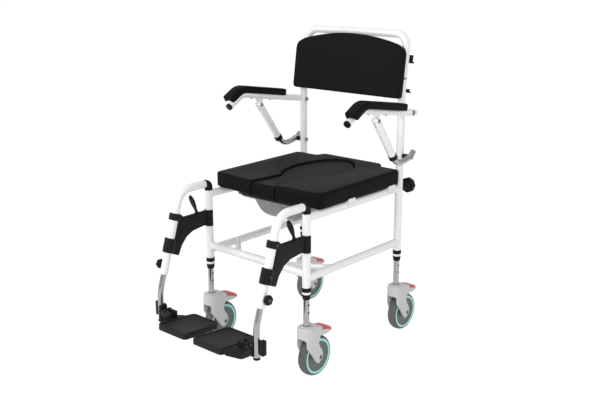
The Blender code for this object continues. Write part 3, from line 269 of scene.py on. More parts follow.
# Planes to draw in, and how many sides a tube has
FLAT = Matrix.Identity(4)
SIDE = Matrix(((0, 0, 1, 0), (1, 0, 0, 0), (0, 1, 0, 0), (0, 0, 0, 1)))
FACING = Matrix(((1, 0, 0, 0), (0, 0, -1, 0), (0, 1, 0, 0), (0, 0, 0, 1)))
BACK = Matrix.Translation((0, REAR_Y, POST_BEND_Z)) @ Matrix.Rotation(radians(-POST_LEAN), 4, "X")
FINE = 40

# The finishes of a piece, in the order of its materials; a part's finish number picks one
COAT = ["white_powder_coat"]
COAT_AND_FITTINGS = ["white_powder_coat", "zinc_steel", "black_plastic"]
BLACK = ["black_plastic"]
BLACK_AND_SCREWS = ["black_plastic", "dark_steel"]


def colour(name, covers, default):
    return bpy.props.FloatVectorProperty(
        name=name, description=f"Colour of {covers}", subtype="COLOR", default=default, min=0, max=1)


def length(name, description, default, low, high):
    return bpy.props.FloatProperty(
        name=name, description=description, default=default, min=low, max=high, unit="LENGTH")


class ChairFinishes(bpy.types.PropertyGroup):
    powder_coat: colour("Powder coat", "the painted tubes", (0.87, 0.87, 0.865))
    foam: colour("Moulded foam", "the seat, backrest and arm pads", (0.0065, 0.0065, 0.006))
    plastic: colour("Black plastic", "knobs, levers, brackets and footplates", (0.008, 0.008, 0.0085))
    housing: colour("Caster housing", "the caster housings", (0.58, 0.58, 0.575))
    tyre: colour("Tyre", "the caster treads", (0.105, 0.105, 0.105))
    hub: colour("Wheel hub", "the caster hubs", (0.115, 0.140, 0.132))
    wheel_ring: colour("Wheel ring", "the ring between hub and tread", (0.36, 0.78, 0.76))
    pedal: colour("Brake pedal", "the brake pedals' covers", (0.66, 0.075, 0.085))
    pan: colour("Pan", "the pan", (0.24, 0.24, 0.24))


class ChairDetails(bpy.types.PropertyGroup):
    weld_bead: length("Weld bead", "Radius of the weld at each tube joint", 0.0016, 0.0005, 0.003)
    seat_dish: length("Seat dish", "How far the middle of the seat lies below its edge", 0.007, 0, 0.010)
    back_wrap: length("Backrest wrap", "How far the backrest's ends come forward", 0.003, 0, 0.016)


# Shapes

@contextmanager
def added(shape, place=FLAT, finish=0):
    """Makes a part of the shape on its own, places it, gives it its finish and joins it in."""
    part = bmesh.new()
    yield part
    bmesh.ops.transform(part, matrix=place, verts=part.verts)
    for face in part.faces:
        face.material_index = finish
    mesh = bpy.data.meshes.new("part")
    part.to_mesh(mesh)
    part.free()
    shape.from_mesh(mesh)
    bpy.data.meshes.remove(mesh)


def of_kind(made, kind):
    return [element for element in made if isinstance(element, kind)]


def rim_of(made):
    """The vertices that an extrusion made, and the edges between them."""
    verts = of_kind(made, BMVert)
    loop = set(verts)
    return verts, [edge for edge in of_kind(made, BMEdge) if loop.issuperset(edge.verts)]


def heading_of(degrees):
    return Vector((cos(radians(degrees)), sin(radians(degrees))))


def left_of(way):
    return Vector((-way.y, way.x))


def full_turn(count):
    return [tau * k / count for k in range(count)]


def tangent(radius, degrees):
    return radius * tan(radians(abs(degrees)) / 2)


def side_plane(x):
    return Matrix.Translation((x, 0, 0)) @ SIDE


def standing(centre, way, up="Y"):
    """The plane whose own Z runs this way from the centre."""
    return Matrix.Translation(centre) @ Vector(way).to_track_quat("Z", up).to_matrix().to_4x4()


def flipped(points, sign):
    return [(sign * a, b) for a, b in points]


def share_of(value, start, end):
    """How far a value has come from start to end, between 0 and 1."""
    return min(1.0, max(0.0, (value - start) / (end - start)))


def both_halves(half, *between):
    """An outline from its right half, from the bottom up."""
    return [*half, *between, *flipped(half[::-1], -1)]


def closed_end(radius, chamfer=0.0006):
    return [(0, radius - chamfer), (chamfer, radius)]


def open_end(radius, bore, depth=0.02):
    lip = 0.0004
    return [(depth, bore), (lip, bore), (0, bore + lip), (0, radius - lip), (lip, radius)]


def domed_end(radius, depth, steps=7):
    turns = [pi / 2 * (k + 0.35) / (steps + 0.35) for k in range(steps + 1)]
    return [(depth * (1 - cos(turn)), radius * sin(turn)) for turn in turns]


def course(shape, place, start, heading, moves, radius, head=None, tail=None, sides=FINE, step=5, finish=0):
    """A round section run along a path in a plane: (length,) goes straight, and (radius, degrees) bends.
    head and tail give the ends as (distance along, radius), from the inside out."""
    head = head or closed_end(radius)
    tail = tail or closed_end(radius)
    angle = radians(heading)
    ahead = Vector((cos(angle), sin(angle), 0))
    point = Vector((*start, 0))
    with added(shape, place, finish) as part:
        turn = Matrix.Rotation(angle, 4, "Z") @ Matrix.Rotation(pi / 2, 4, "Y")
        along, size = head[0]
        centre = point + ahead * along
        bmesh.ops.create_circle(
            part, cap_ends=True, segments=sides, radius=size, matrix=Matrix.Translation(centre) @ turn)
        edges = list(part.edges)

        def grow(target, wide):
            nonlocal edges, centre, size
            verts, edges = rim_of(bmesh.ops.extrude_edge_only(part, edges=edges)["geom"])
            bmesh.ops.scale(part, vec=(wide / size,) * 3, verts=verts, space=Matrix.Translation(-centre))
            bmesh.ops.translate(part, vec=target - centre, verts=verts)
            centre, size = target.copy(), wide

        for along, wide in head[1:]:
            grow(point + ahead * along, wide)
        for i, move in enumerate(moves):
            if len(move) == 1:
                point = point + ahead * move[0]
                stop = tail[-1][0] if i == len(moves) - 1 else 0
                grow(point - ahead * stop, radius)
                continue
            bend, degrees = move
            sweep = radians(degrees)
            pivot = point + Vector((-ahead.y, ahead.x, 0)) * copysign(bend, degrees)
            verts = list({vert for edge in edges for vert in edge.verts})
            made = bmesh.ops.spin(
                part, geom=verts + edges, cent=pivot, axis=(0, 0, 1), angle=sweep,
                steps=max(2, ceil(abs(degrees) / step)), use_merge=False)["geom_last"]
            edges = of_kind(made, BMEdge)
            turned = Matrix.Rotation(sweep, 3, "Z")
            point = pivot + turned @ (point - pivot)
            ahead = turned @ ahead
            centre = point.copy()
        for along, wide in reversed(tail[:-1]):
            grow(point - ahead * along, wide)
        bmesh.ops.edgeloop_fill(part, edges=edges)


def rod(shape, start, end, radius, head=None, tail=None, sides=FINE, finish=0, chamfer=0.0006):
    """A straight round piece between two points."""
    start, end = Vector(start), Vector(end)
    line = end - start
    turn = line.to_track_quat("X", "Z").to_matrix().to_4x4()
    course(shape, Matrix.Translation(start) @ turn, (0, 0), 0, [(line.length,)], radius,
           head or closed_end(radius, chamfer), tail or closed_end(radius, chamfer), sides, finish=finish)


def cross_pin(shape, x, y, z, half, radius, **more):
    """A rod across the chair, from half its length left of x to half its length right of it."""
    rod(shape, (x - half, y, z), (x + half, y, z), radius, **more)


def lathe(shape, profile, place=FLAT, steps=48, closed=False, finish=0):
    """A profile of (radius, height) spun about the plane's own Z."""
    with added(shape, place, finish) as part:
        verts = [part.verts.new((radius, 0, height)) for radius, height in profile]
        pairs = list(zip(verts, verts[1:])) + ([(verts[-1], verts[0])] if closed else [])
        edges = [part.edges.new(pair) for pair in pairs]
        bmesh.ops.spin(
            part, geom=verts + edges, cent=(0, 0, 0), axis=(0, 0, 1), angle=tau, steps=steps,
            use_merge=True)
        bmesh.ops.remove_doubles(part, verts=part.verts, dist=1e-6)


def shifted(points, across, up):
    return [(across + a, up + b) for a, b in points]


def ring(inner, rim):
    """A ring's profile from the one of its outside."""
    return [(inner, rim[0][1]), *rim, (inner, rim[-1][1])]


def soften(part, edges, size, segments):
    round_off(part, list(edges), size, segments, affect="EDGES", clamp_overlap=True)


def round_off(part, corners, size, segments, **more):
    bmesh.ops.bevel(
        part, geom=corners, offset=size, offset_type="OFFSET", segments=segments, profile=0.5, material=-1,
        **more)


def thicken(part, face, height, edge=0.0, segments=3):
    """Raises a flat face into a slab and softens the edges of its two faces."""
    grown = bmesh.ops.extrude_face_region(part, geom=[face])["geom"]
    bmesh.ops.translate(part, verts=of_kind(grown, BMVert), vec=(0, 0, height))
    if edge:
        over = of_kind(grown, BMFace)
        soften(part, {rim for side in (*over, face) for rim in side.edges}, edge, segments)


def slab(shape, corners, low, high, place=FLAT, corner=0.0, edge=0.0, segments=3, finish=0):
    """A flat outline with its thickness along the plane's normal; corner is one size or one for each."""
    sizes = corner if isinstance(corner, (list, tuple)) else [corner] * len(corners)
    with added(shape, place, finish) as part:
        verts = [part.verts.new((a, b, low)) for a, b in corners]
        part.faces.new(verts)
        for size in sorted(set(sizes) - {0}):
            chosen = [vert for vert, own in zip(verts, sizes) if own == size]
            round_off(part, chosen, size, 6, affect="VERTICES")
        part.faces.ensure_lookup_table()
        thicken(part, part.faces[0], high - low, edge, segments)


def block(shape, low, high, place=FLAT, edge=0.0015, segments=3, finish=0):
    low, high = Vector(low), Vector(high)
    with added(shape, place, finish) as part:
        bmesh.ops.create_cube(part, size=1)
        bmesh.ops.scale(part, vec=high - low, verts=part.verts)
        bmesh.ops.translate(part, vec=(low + high) / 2, verts=part.verts)
        if edge:
            soften(part, part.edges, edge, segments)


def side_block(shape, sign, low, high, **more):
    """A block given for the right side, mirrored for the left."""
    ends = sorted((sign * low[0], sign * high[0]))
    block(shape, (ends[0], *low[1:]), (ends[1], *high[1:]), **more)


def lobed(shape, radius, low, high, place, lobes=6, depth=0.12, edge=0.0025):
    """A hand knob's head."""
    with added(shape, place) as part:
        bmesh.ops.create_circle(part, cap_ends=True, segments=72, radius=radius)
        for vert in part.verts:
            turn = atan2(vert.co.y, vert.co.x)
            vert.co *= 1 - depth * (1 - cos(lobes * turn)) / 2
        bmesh.ops.translate(part, verts=part.verts, vec=(0, 0, low))
        part.faces.ensure_lookup_table()
        thicken(part, part.faces[0], high - low, edge, 4)


def bolt(shape, centre, way, radius=0.0055, height=0.0035, finish=1, socket=True):
    """A domed bolt head with its socket, standing on centre and facing way."""
    hole = radius * 0.42
    top = [(0, height * 0.45), (hole, height * 0.45), (hole, height)] if socket else [(0, height)]
    rim = [(radius * 0.62, height), (radius * 0.9, height * 0.72), (radius, height * 0.25), (radius, -0.001),
           (0, -0.001)]
    lathe(shape, top + rim, standing(centre, way), 24, finish=finish)


def washer(shape, centre, way, radius, thickness=0.0012, finish=1):
    rim = radius - 0.0003
    profile = [(0, thickness), (rim, thickness), (radius, thickness - 0.0003), (radius, -0.001), (0, -0.001)]
    lathe(shape, profile, standing(centre, way), 28, finish=finish)


def hex_nut(shape, centre, way, across, height, finish=1):
    place = standing(centre, way)
    with added(shape, place, finish) as part:
        bmesh.ops.create_cone(part, cap_ends=True, segments=6, radius1=across, radius2=across, depth=height)
        bmesh.ops.translate(part, verts=part.verts, vec=(0, 0, height / 2))
        soften(part, part.edges, 0.0005, 2)
    lathe(shape, [(0, height + 0.002), (0.0026, height + 0.002), (0.003, height + 0.0016), (0.003, 0), (0, 0)],
          place, 20, finish=finish)


def saddle_bead(shape, centre, way, radius, main=TUBE_R, branch=TUBE_R, upright=(0, 0, 1)):
    """A weld bead where a branch tube, running way, meets a main tube that stands upright."""
    way, upright = Vector(way).normalized(), Vector(upright).normalized()
    across = way.cross(upright)
    with added(shape) as part:
        rings = []
        for turn in full_turn(48):
            outward = across * cos(turn) + upright * sin(turn)
            out = sqrt(max(main ** 2 - (branch * cos(turn)) ** 2, 0)) + 0.0003 * sin(15 * turn)
            spot = Vector(centre) + outward * branch + way * out
            rings.append([
                part.verts.new(spot + (outward * cos(a) + way * sin(a)) * radius) for a in full_turn(8)])
        for here, there in zip(rings[-1:] + rings, rings):
            for j in range(8):
                part.faces.new((here[j - 1], here[j], there[j], there[j - 1]))


def as_object(shape, name):
    mesh = bpy.data.meshes.new(name)
    bmesh.ops.remove_doubles(shape, verts=shape.verts, dist=1e-6)
    bmesh.ops.recalc_face_normals(shape, faces=shape.faces)
    shape.to_mesh(mesh)
    shape.free()
    made = bpy.data.objects.new(name, mesh)
    bpy.context.scene.collection.objects.link(made)
    return made


def alone(name, make, *sizes, **more):
    """An object that holds one shape only."""
    shape = bmesh.new()
    make(shape, *sizes, **more)
    return as_object(shape, name)


@contextmanager
def reopened(made):
    """The object's own shape, to add to."""
    shape = bmesh.new()
    shape.from_mesh(made.data)
    yield shape
    shape.to_mesh(made.data)
    shape.free()


def bake(made):
    """Applies the object's modifiers."""
    made_mesh = bpy.data.meshes.new_from_object(made.evaluated_get(bpy.context.evaluated_depsgraph_get()))
    made.modifiers.clear()
    made.data = made_mesh
    made_mesh.name = made.name


def carve(made, *cutters, within=None, use_self=False):
    """Keeps what lies within one object, if one is given, cuts the cutters out, and removes them all."""
    others = [within, *cutters] if within else cutters
    for other in others:
        step = made.modifiers.new(other.name, "BOOLEAN")
        step.operation = "INTERSECT" if other == within else "DIFFERENCE"
        step.object = other
        step.use_self = use_self
    bake(made)
    for other in others:
        bpy.data.objects.remove(other)


def moulded(made, voxel, rounds):
    """Remeshes a piece to even faces and softens its edges."""
    step = made.modifiers.new("skin", "REMESH")
    step.mode = "VOXEL"
    step.voxel_size = voxel
    bake(made)
    with reopened(made) as shape:
        for _ in range(rounds):
            bmesh.ops.smooth_vert(
                shape, verts=shape.verts, factor=0.5, use_axis_x=True, use_axis_y=True, use_axis_z=True)


def settle(made, body, finishes, replaces=(), sharp=35):
    """Gives a finished object its materials and smooth shading, ties it to its body and hides the nodes it
    stands for.
    """
    for finish in finishes:
        made.data.materials.append(FINISHES[finish])
    made.data.shade_smooth()
    made.data.set_sharp_from_angle(angle=radians(sharp))
    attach(made, body)
    if replaces:
        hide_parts(*replaces)


def piece(shape, name, body, finishes, replaces=()):
    settle(as_object(shape, name), body, finishes, replaces)


def settle_foam(made, body, node):
    settle(made, body, ["moulded_foam"], [node], sharp=60)


# Finishes

FINISHES = {}
COAT_ROUGHNESS = 0.12
GRAIN_HEIGHT = 0.0004


def add_node(tree, kind, settings=(), values=(), feeds=()):
    """A shader node with its settings, the values of its sockets and the outputs that feed them."""
    made = tree.nodes.new("ShaderNode" + kind)
    for name, value in dict(settings).items():
        setattr(made, name, value)
    for socket, value in dict(values).items():
        made.inputs[socket].default_value = value
    for socket, output in dict(feeds).items():
        tree.links.new(output, made.inputs[socket])
    return made


def make_finish(name, base, roughness, metallic=0.0, vary=0.06, patch=18, grain=900, grain_depth=0.02,
                rough_vary=0.05, coat=0.0, specular=0.5, cells=False):
    """A finish with slight changes of tone and gloss over the surface, and a fine grain in its bump."""
    if isinstance(base, str):
        base = tuple(getattr(bpy.context.scene.chair_finishes, base))
    made = bpy.data.materials.new(name)
    made.use_nodes = True
    tree = made.node_tree
    shader = tree.nodes["Principled BSDF"].inputs
    shader["Metallic"].default_value = metallic
    shader["Specular IOR Level"].default_value = specular
    if coat:
        shader["Coat Weight"].default_value = coat
        shader["Coat Roughness"].default_value = COAT_ROUGHNESS
    place = {"Vector": add_node(tree, "TexCoord").outputs["Object"]}
    cloud = add_node(tree, "TexNoise", {}, {"Scale": patch, "Detail": 4}, place)
    tones = {"A": (*[channel * (1 - vary) for channel in base], 1),
             "B": (*[min(1, channel * (1 + vary)) for channel in base], 1)}
    tone = add_node(tree, "Mix", {"data_type": "RGBA"}, tones, {"Factor": cloud.outputs["Fac"]})
    tree.links.new(tone.outputs["Result"], shader["Base Color"])
    wear = add_node(tree, "TexNoise", {}, {"Scale": patch * 4, "Detail": 6}, place)
    span = {"To Min": max(0.02, roughness - rough_vary), "To Max": min(1, roughness + rough_vary)}
    gloss = add_node(tree, "MapRange", {}, span, {"Value": wear.outputs["Fac"]})
    tree.links.new(gloss.outputs["Result"], shader["Roughness"])
    if grain_depth:
        if cells:
            texture = add_node(tree, "TexVoronoi", {"feature": "SMOOTH_F1"}, {"Scale": grain}, place)
        else:
            texture = add_node(tree, "TexNoise", {}, {"Detail": 3, "Scale": grain}, place)
        height = texture.outputs["Distance" if cells else "Fac"]
        bump = add_node(tree, "Bump", {}, {"Strength": grain_depth, "Distance": GRAIN_HEIGHT},
                        {"Height": height})
        tree.links.new(bump.outputs["Normal"], shader["Normal"])
    FINISHES[name] = made


# Each row is a colour, or the name of one in the panel, then a roughness and what differs from the usual
LOOKS = {
    "white_powder_coat": ("powder_coat", 0.30, dict(vary=0.015, grain=1100, grain_depth=0.10, coat=0.25)),
    "chrome_plate": ((0.40, 0.40, 0.41), 0.14, dict(metallic=1.0, vary=0.03, grain_depth=0, rough_vary=0.04)),
    "black_plastic": ("plastic", 0.42, dict(vary=0.10, grain=1400, grain_depth=0.25, specular=0.12)),
    "footplate_plastic": ("plastic", 0.50, dict(
        vary=0.10, grain=900, grain_depth=0.55, cells=True, specular=0.20)),
    "moulded_foam": ("foam", 0.42, dict(
        vary=0.08, patch=9, grain=1500, grain_depth=0.35, cells=True, rough_vary=0.06, specular=0.04)),
    "housing_plastic": ("housing", 0.38, dict(vary=0.02, grain=1200, grain_depth=0.12)),
    "tyre_rubber": ("tyre", 0.62, dict(vary=0.07, grain=800, grain_depth=0.30)),
    "hub_plastic": ("hub", 0.45, dict(vary=0.05, grain=900, grain_depth=0.15)),
    "ring_plastic": ("wheel_ring", 0.40, dict(vary=0.03, grain=900, grain_depth=0.10)),
    "pedal_plastic": ("pedal", 0.36, dict(vary=0.04, grain=1100, grain_depth=0.15)),
    "pan_plastic": ("pan", 0.40, dict(vary=0.03, grain=700, grain_depth=0.15)),
    "clip_plastic": ((0.80, 0.80, 0.79), 0.42, dict(vary=0.02, grain=1200, grain_depth=0.10)),
    "zinc_steel": ((0.34, 0.34, 0.35), 0.28, dict(
        metallic=1.0, vary=0.08, patch=60, grain_depth=0, rough_vary=0.08)),
    "dark_steel": ((0.10, 0.10, 0.105), 0.45, dict(metallic=0.6, vary=0.10, patch=60, grain_depth=0)),
}


class CHAIR_OT_finishes(bpy.types.Operator):
    """Makes the chair's materials from its colours"""

    bl_idname = "chair.finishes"
    bl_label = "Finishes"

    def execute(self, context):
        for name, (base, roughness, more) in LOOKS.items():
            make_finish(name, base, roughness, **more)
        return {"FINISHED"}


# Frame

def frame_piece(name, node, start, end, ends=(), beads=(), bead=0):
    """A straight tube of the frame with its weld beads, each (z, way)."""
    shape = bmesh.new()
    rod(shape, start, end, TUBE_R, *ends)
    for z, way in beads:
        saddle_bead(shape, (*start[:2], z), way, bead)
    piece(shape, name, "frame", COAT, [node])


class CHAIR_OT_frame_tubes(bpy.types.Operator):
    """Legs, posts, push rail, side rails and crossbars, with their welds"""

    bl_idname = "chair.frame_tubes"
    bl_label = "Frame tubes"

    def execute(self, context):
        bead = context.scene.chair_details.weld_bead
        open_tube = open_end(TUBE_R, TUBE_BORE_R)
        inset = TUBE_BORE_R * 0.5
        reach = LEG_X - inset
        shape = bmesh.new()
        bend = tangent(POST_BEND_R, POST_LEAN)
        for _, sign in SIDES:
            course(shape, side_plane(sign * LEG_X), (REAR_Y, TUBE_FOOT_Z), 90,
                   [(POST_BEND_Z - bend - TUBE_FOOT_Z,), (POST_BEND_R, -POST_LEAN), (POST_TAIL,)],
                   TUBE_R, open_tube, step=1.3)
        start = bend + PUSH_RAIL_START
        upright = PUSH_RAIL_RISE - PUSH_RAIL_BEND_R - start
        across = 2 * (LEG_X - PUSH_RAIL_BEND_R)
        corner = (PUSH_RAIL_BEND_R, 90)
        course(shape, BACK @ FACING, (LEG_X, start), 90, [(upright,), corner, (across,), corner, (upright,)],
               TUBE_R)
        for _, sign in SIDES:
            for z, way in ((SEAT_RAIL_Z, (0, -1, 0)), (LOWER_RAIL_Z, (0, -1, 0)), (SEAT_RAIL_Z, (-sign, 0, 0))):
                saddle_bead(shape, (sign * LEG_X, REAR_Y, z), way, bead)
        piece(shape, "posts_and_push_rail", "frame", COAT, ["rear_post_left", "rear_post_right", "push_rail"])
        for side, sign in SIDES:
            x = sign * LEG_X
            beads = ((SEAT_RAIL_Z, (0, 1, 0)), (LOWER_RAIL_Z, (0, 1, 0)), (CROSSBAR_Z, (-sign, 0, 0)))
            frame_piece(f"front_leg_tube_{side}", f"front_leg_{side}", (x, FRONT_Y, TUBE_FOOT_Z),
                        (x, FRONT_Y, LEG_TOP_Z), (open_tube, open_tube), beads, bead)
            for name, z in (("seat_rail", SEAT_RAIL_Z), ("lower_rail", LOWER_RAIL_Z)):
                frame_piece(f"{name}_tube_{side}", f"{name}_{side}", (x, FRONT_Y + inset, z),
                            (x, REAR_Y - inset, z))
        shape = bmesh.new()
        cross_pin(shape, 0, FRONT_Y, CROSSBAR_Z, reach, TUBE_R)
        for _, sign in SIDES:
            start = Vector((sign * CORNER_BRACE_X, FRONT_Y, CROSSBAR_Z))
            end = Vector((sign * LEG_X, CORNER_BRACE_Y, LOWER_RAIL_Z))
            rod(shape, start, end, CORNER_BRACE_R)
            way = (end - start).normalized()
            upright = way.cross(Vector((0, 0, 1))).cross(way)
            for foot, out, main in ((start, way, (sign, 0, 0)), (end, -way, (0, 1, 0))):
                oval = TUBE_R / sin(way.angle(Vector(main)))
                saddle_bead(shape, foot + out * (oval - TUBE_R) * 0.6, out, bead, TUBE_R, CORNER_BRACE_R,
                            upright)
        piece(shape, "front_crossbar_tube", "frame", COAT, ["front_crossbar"])
        frame_piece("rear_crossbar_tube", "rear_crossbar", (-reach, REAR_Y, SEAT_RAIL_Z),
                    (reach, REAR_Y, SEAT_RAIL_Z))
        return {"FINISHED"}


COLLAR_RIM = mm((0, 0), (0.3, -0.8), (0.3, -4.5), (-0.4, -5.5), (-0.6, -12.5), (-2.2, -16.1), (-2.8, -16.5))
CLIP_RIM = mm((-0.5, 0), (0, 0.6), (0, 4.5), (-0.7, 5.2), (-0.7, 7.5), (0, 8.2), (0, 12.4), (-0.5, 13))


class CHAIR_OT_leg_fittings(bpy.types.Operator):
    """Collars and spring clips at the feet of the frame, and the sliding chrome legs"""

    bl_idname = "chair.leg_fittings"
    bl_label = "Leg fittings"

    def execute(self, context):
        for where, sign in LEGS:
            x, y, _ = at(f"caster_swivel_{where}")
            place = Matrix.Translation((x, y, 0))
            shape = bmesh.new()
            rim = shifted(COLLAR_RIM, TUBE_R + 0.0004, TUBE_FOOT_Z - GAP)
            lathe(shape, ring(CHROME_R + 0.0002, rim), place, closed=True)
            piece(shape, f"collar_{where}", "frame", BLACK, [f"leg_collar_{where}"])
            shape = bmesh.new()
            outer = TUBE_R + 0.0016
            lathe(shape, ring(TUBE_R - 0.0002, shifted(CLIP_RIM, outer, CLIP_LOW_Z)), place, closed=True)
            bolt(shape, (x + sign * (outer - 0.0004), y, CLIP_LOW_Z + CLIP_HEIGHT / 2), (sign, 0, 0), 0.0042,
                 0.0022, finish=0, socket=False)
            piece(shape, f"spring_clip_{where}", "frame", BLACK)
            mouths = [open_end(CHROME_R, CHROME_BORE_R, depth) for depth in (0.01, 0.20)]
            leg = alone(f"chrome_leg_{where}", rod, (x, y, CROWN_TOP_Z + GAP), (x, y, LEG_TUBE_TOP_Z), CHROME_R,
                        *mouths, sides=48)
            shape = bmesh.new()
            first = TUBE_FOOT_Z - COLLAR_HEIGHT - HOLE_DROP
            for k in range(2):
                cross_pin(shape, x, y, first - k * HOLE_PITCH, 0.02, HOLE_R, sides=24)
            carve(leg, as_object(shape, "leg_holes"))
            settle(leg, f"leg_{where}", ["chrome_plate"], [f"leg_tube_{where}"])
        return {"FINISHED"}


# Casters: outlines from the side are (y from the swivel's axis, z), and profiles are (radius, height)

HOUSING_SIDE = mm(
    (-35, 111.5), (-35, 180), (12, 180), (26, 164), (46.5, 162.5), (47.5, 142), (33, 124), (30, 112), (37, 97),
    (52, 79), (52, 56), (28, 44), (15, 56), (-9, 93), (-23.5, 111.5))
HOUSING_ROUNDS = mm(0, 0, 0, 7, 4, 7, 5, 5, 8, 10, 10, 6, 5, 14, 4)
CROWN_RING = mm((0, 0), (10.5, 0), (10.8, 1.8), (12.8, 2.2), (14.2, 1.2), (16, -1), (16, -6), (0, -6))
AXLE_RING = mm((6.6, 1), (7, 1.4), (8.8, 1.4), (9.8, 0.4), (9.8, -3), (6.6, -3))
AXLE_HEAD = mm((0, 0.2), (2.4, 0.2), (2.6, 0.8), (5.8, 0.8), (6.5, 0.2), (6.5, -3), (0, -3))
TREAD_WORN = mm((0, 0), (0.1, 4.5), (0.8, 8.5), (2.4, 12.2), (4.4, 14.6))
TREAD = [(WHEEL_R - a, b) for a, b in TREAD_WORN] + mm((55.8, 15.6), (55, 15.6))
WHEEL_BAND = mm((55, 15.6), (54.6, 16), (48.8, 16), (48.1, 15.4), (47.9, 14.2))
WHEEL_HUB = mm((47.9, 14.2), (46.2, 12.8), (42, 11.2), (30, 10.4), (20, 11.6), (16, 14.6), (14, 16), (6, 16),
               (5.3, 15), (5.3, 0))
PEDAL_SKIRT = mm((33, 152.5), (58, 148.5), (78, 141.5), (98, 131), (92, 127.5), (54, 126), (40, 133), (30, 143))
SKIRT_ROUNDS = mm(3, 0, 0, 2, 2, 6, 6, 6)
PEDAL_WEB = mm((34, 154), (58, 149), (88, 134.5), (84, 132.5), (58, 145), (34, 148))
PEDAL_COVER = mm(
    (31, 154), (48, 154.8), (66, 153.7), (82, 150), (95, 143.5), (104, 135.2), (108, 128), (105, 125),
    (94, 131.5), (79, 139.2), (62, 145.5), (46, 148.8), (31, 150))
COVER_ROUNDS = mm(1, 8, 8, 6, 5, 4, 3, 2, 6, 8, 6, 4, 1)


def caster_housing(where, top):
    """One moulding: a round front, flat sides that taper to the rear, and an arch over the wheel."""
    turns = [pi * (1 + k / 24) for k in range(25)]
    plan = [(CROWN_R * cos(turn), CROWN_R * sin(turn)) for turn in turns]
    plan += [(CROWN_R, TAPER_START), (CROWN_R - FORK_TAPER, FORK_REAR), (FORK_TAPER - CROWN_R, FORK_REAR),
             (-CROWN_R, TAPER_START)]
    axle_y = top.y + TRAIL
    upright = Matrix.Translation((top.x, top.y, 0))
    made = alone(f"caster_housing_{where}", slab, plan, HOUSING_LOW_Z, CROWN_TOP_Z - 0.0004, upright, 0,
                 0.007, 5)
    side = alone("side_view", slab, HOUSING_SIDE, -0.040, 0.040, upright @ SIDE, HOUSING_ROUNDS)
    space = alone("wheel_space", cross_pin, top.x, axle_y, WHEEL_R, WHEEL_SPACE, WHEEL_SPACE_R, sides=96)
    arch = [(-WHEEL_SPACE, ARCH_LOW_Z), (WHEEL_SPACE, ARCH_LOW_Z), (WHEEL_SPACE, ARCH_TOP_Z),
            (-WHEEL_SPACE, ARCH_TOP_Z)]
    front = alone("front_arch", slab, arch, -0.030, 0.040, upright @ FACING, [0, 0, 0.009, 0.009])
    carve(made, space, front, within=side)
    moulded(made, 0.0012, 3)
    with reopened(made) as shape:
        lathe(shape, shifted(CROWN_RING, 0, CROWN_TOP_Z), upright, 64)
        outer = CROWN_R - FORK_TAPER * (TRAIL - TAPER_START) / (FORK_REAR - TAPER_START)
        for sign in (-1, 1):
            place = standing((top.x + sign * outer, axle_y, WHEEL_R), (sign, 0, 0))
            lathe(shape, AXLE_RING, place, 40, closed=True)
            lathe(shape, AXLE_HEAD, place, 36, finish=1)
        cross_pin(shape, top.x, axle_y, WHEEL_R, 0.022, 0.005, sides=24, finish=1)
    settle(made, f"caster_{where}", ["housing_plastic", "dark_steel"], [f"caster_fork_{where}"])


def caster_wheel(where, top):
    shape = bmesh.new()
    turn = Matrix.Translation((top.x, top.y + TRAIL, WHEEL_R)) @ Matrix.Rotation(pi / 2, 4, "Y")
    for number, profile in enumerate((TREAD, WHEEL_BAND, WHEEL_HUB)):
        for way in (-1, 1):
            lathe(shape, [(r, h * way) for r, h in profile], turn, 96, finish=number)
    piece(shape, f"wheel_and_tyre_{where}", f"wheel_{where}", ["tyre_rubber", "ring_plastic", "hub_plastic"],
          [f"caster_wheel_{where}"])


def brake_pedal(where, top):
    shape = bmesh.new()
    plane = Matrix.Translation((top.x, top.y, 0)) @ SIDE
    for sign in (-1, 1):
        low, high = sorted(sign * side for side in PEDAL_SKIRTS)
        slab(shape, PEDAL_SKIRT, low, high, plane, SKIRT_ROUNDS, 0.0004, 2, finish=1)
    slab(shape, PEDAL_WEB, -0.0155, 0.0155, plane, 0, 0.0006, 2, finish=1)
    cross_pin(shape, top.x, top.y + PEDAL_Y, PEDAL_Z, 0.0182, 0.0062, sides=28, finish=1)
    with added(shape, plane) as part:
        slab(part, PEDAL_COVER, -PEDAL_HALF_WIDTH, PEDAL_HALF_WIDTH, FLAT, COVER_ROUNDS, 0.0022, 4)
        for vert in part.verts:
            reach = max(0.0, (vert.co.x - PEDAL_TIP_START) / PEDAL_TIP_LENGTH)
            vert.co.z *= 1 - PEDAL_TIP_TAPER * reach ** PEDAL_TIP_CURVE
            crown = 1 - (vert.co.z / PEDAL_HALF_WIDTH) ** 2
            line = 0.154 - 0.9 * max(0.0, vert.co.x - 0.066)
            if vert.co.y > line - 0.010:
                vert.co.y += PEDAL_CROWN * crown
    piece(shape, f"pedal_{where}", f"pedal_{where}", ["pedal_plastic", "housing_plastic"],
          [f"brake_pedal_{where}"])


class CHAIR_OT_casters(bpy.types.Operator):
    """Caster housings, wheels and brake pedals"""

    bl_idname = "chair.casters"
    bl_label = "Casters"

    def execute(self, context):
        for where, _ in LEGS:
            for make in (caster_housing, caster_wheel, brake_pedal):
                make(where, at(f"caster_swivel_{where}"))
        return {"FINISHED"}


# Footrests: points in a side plane are (y, z)

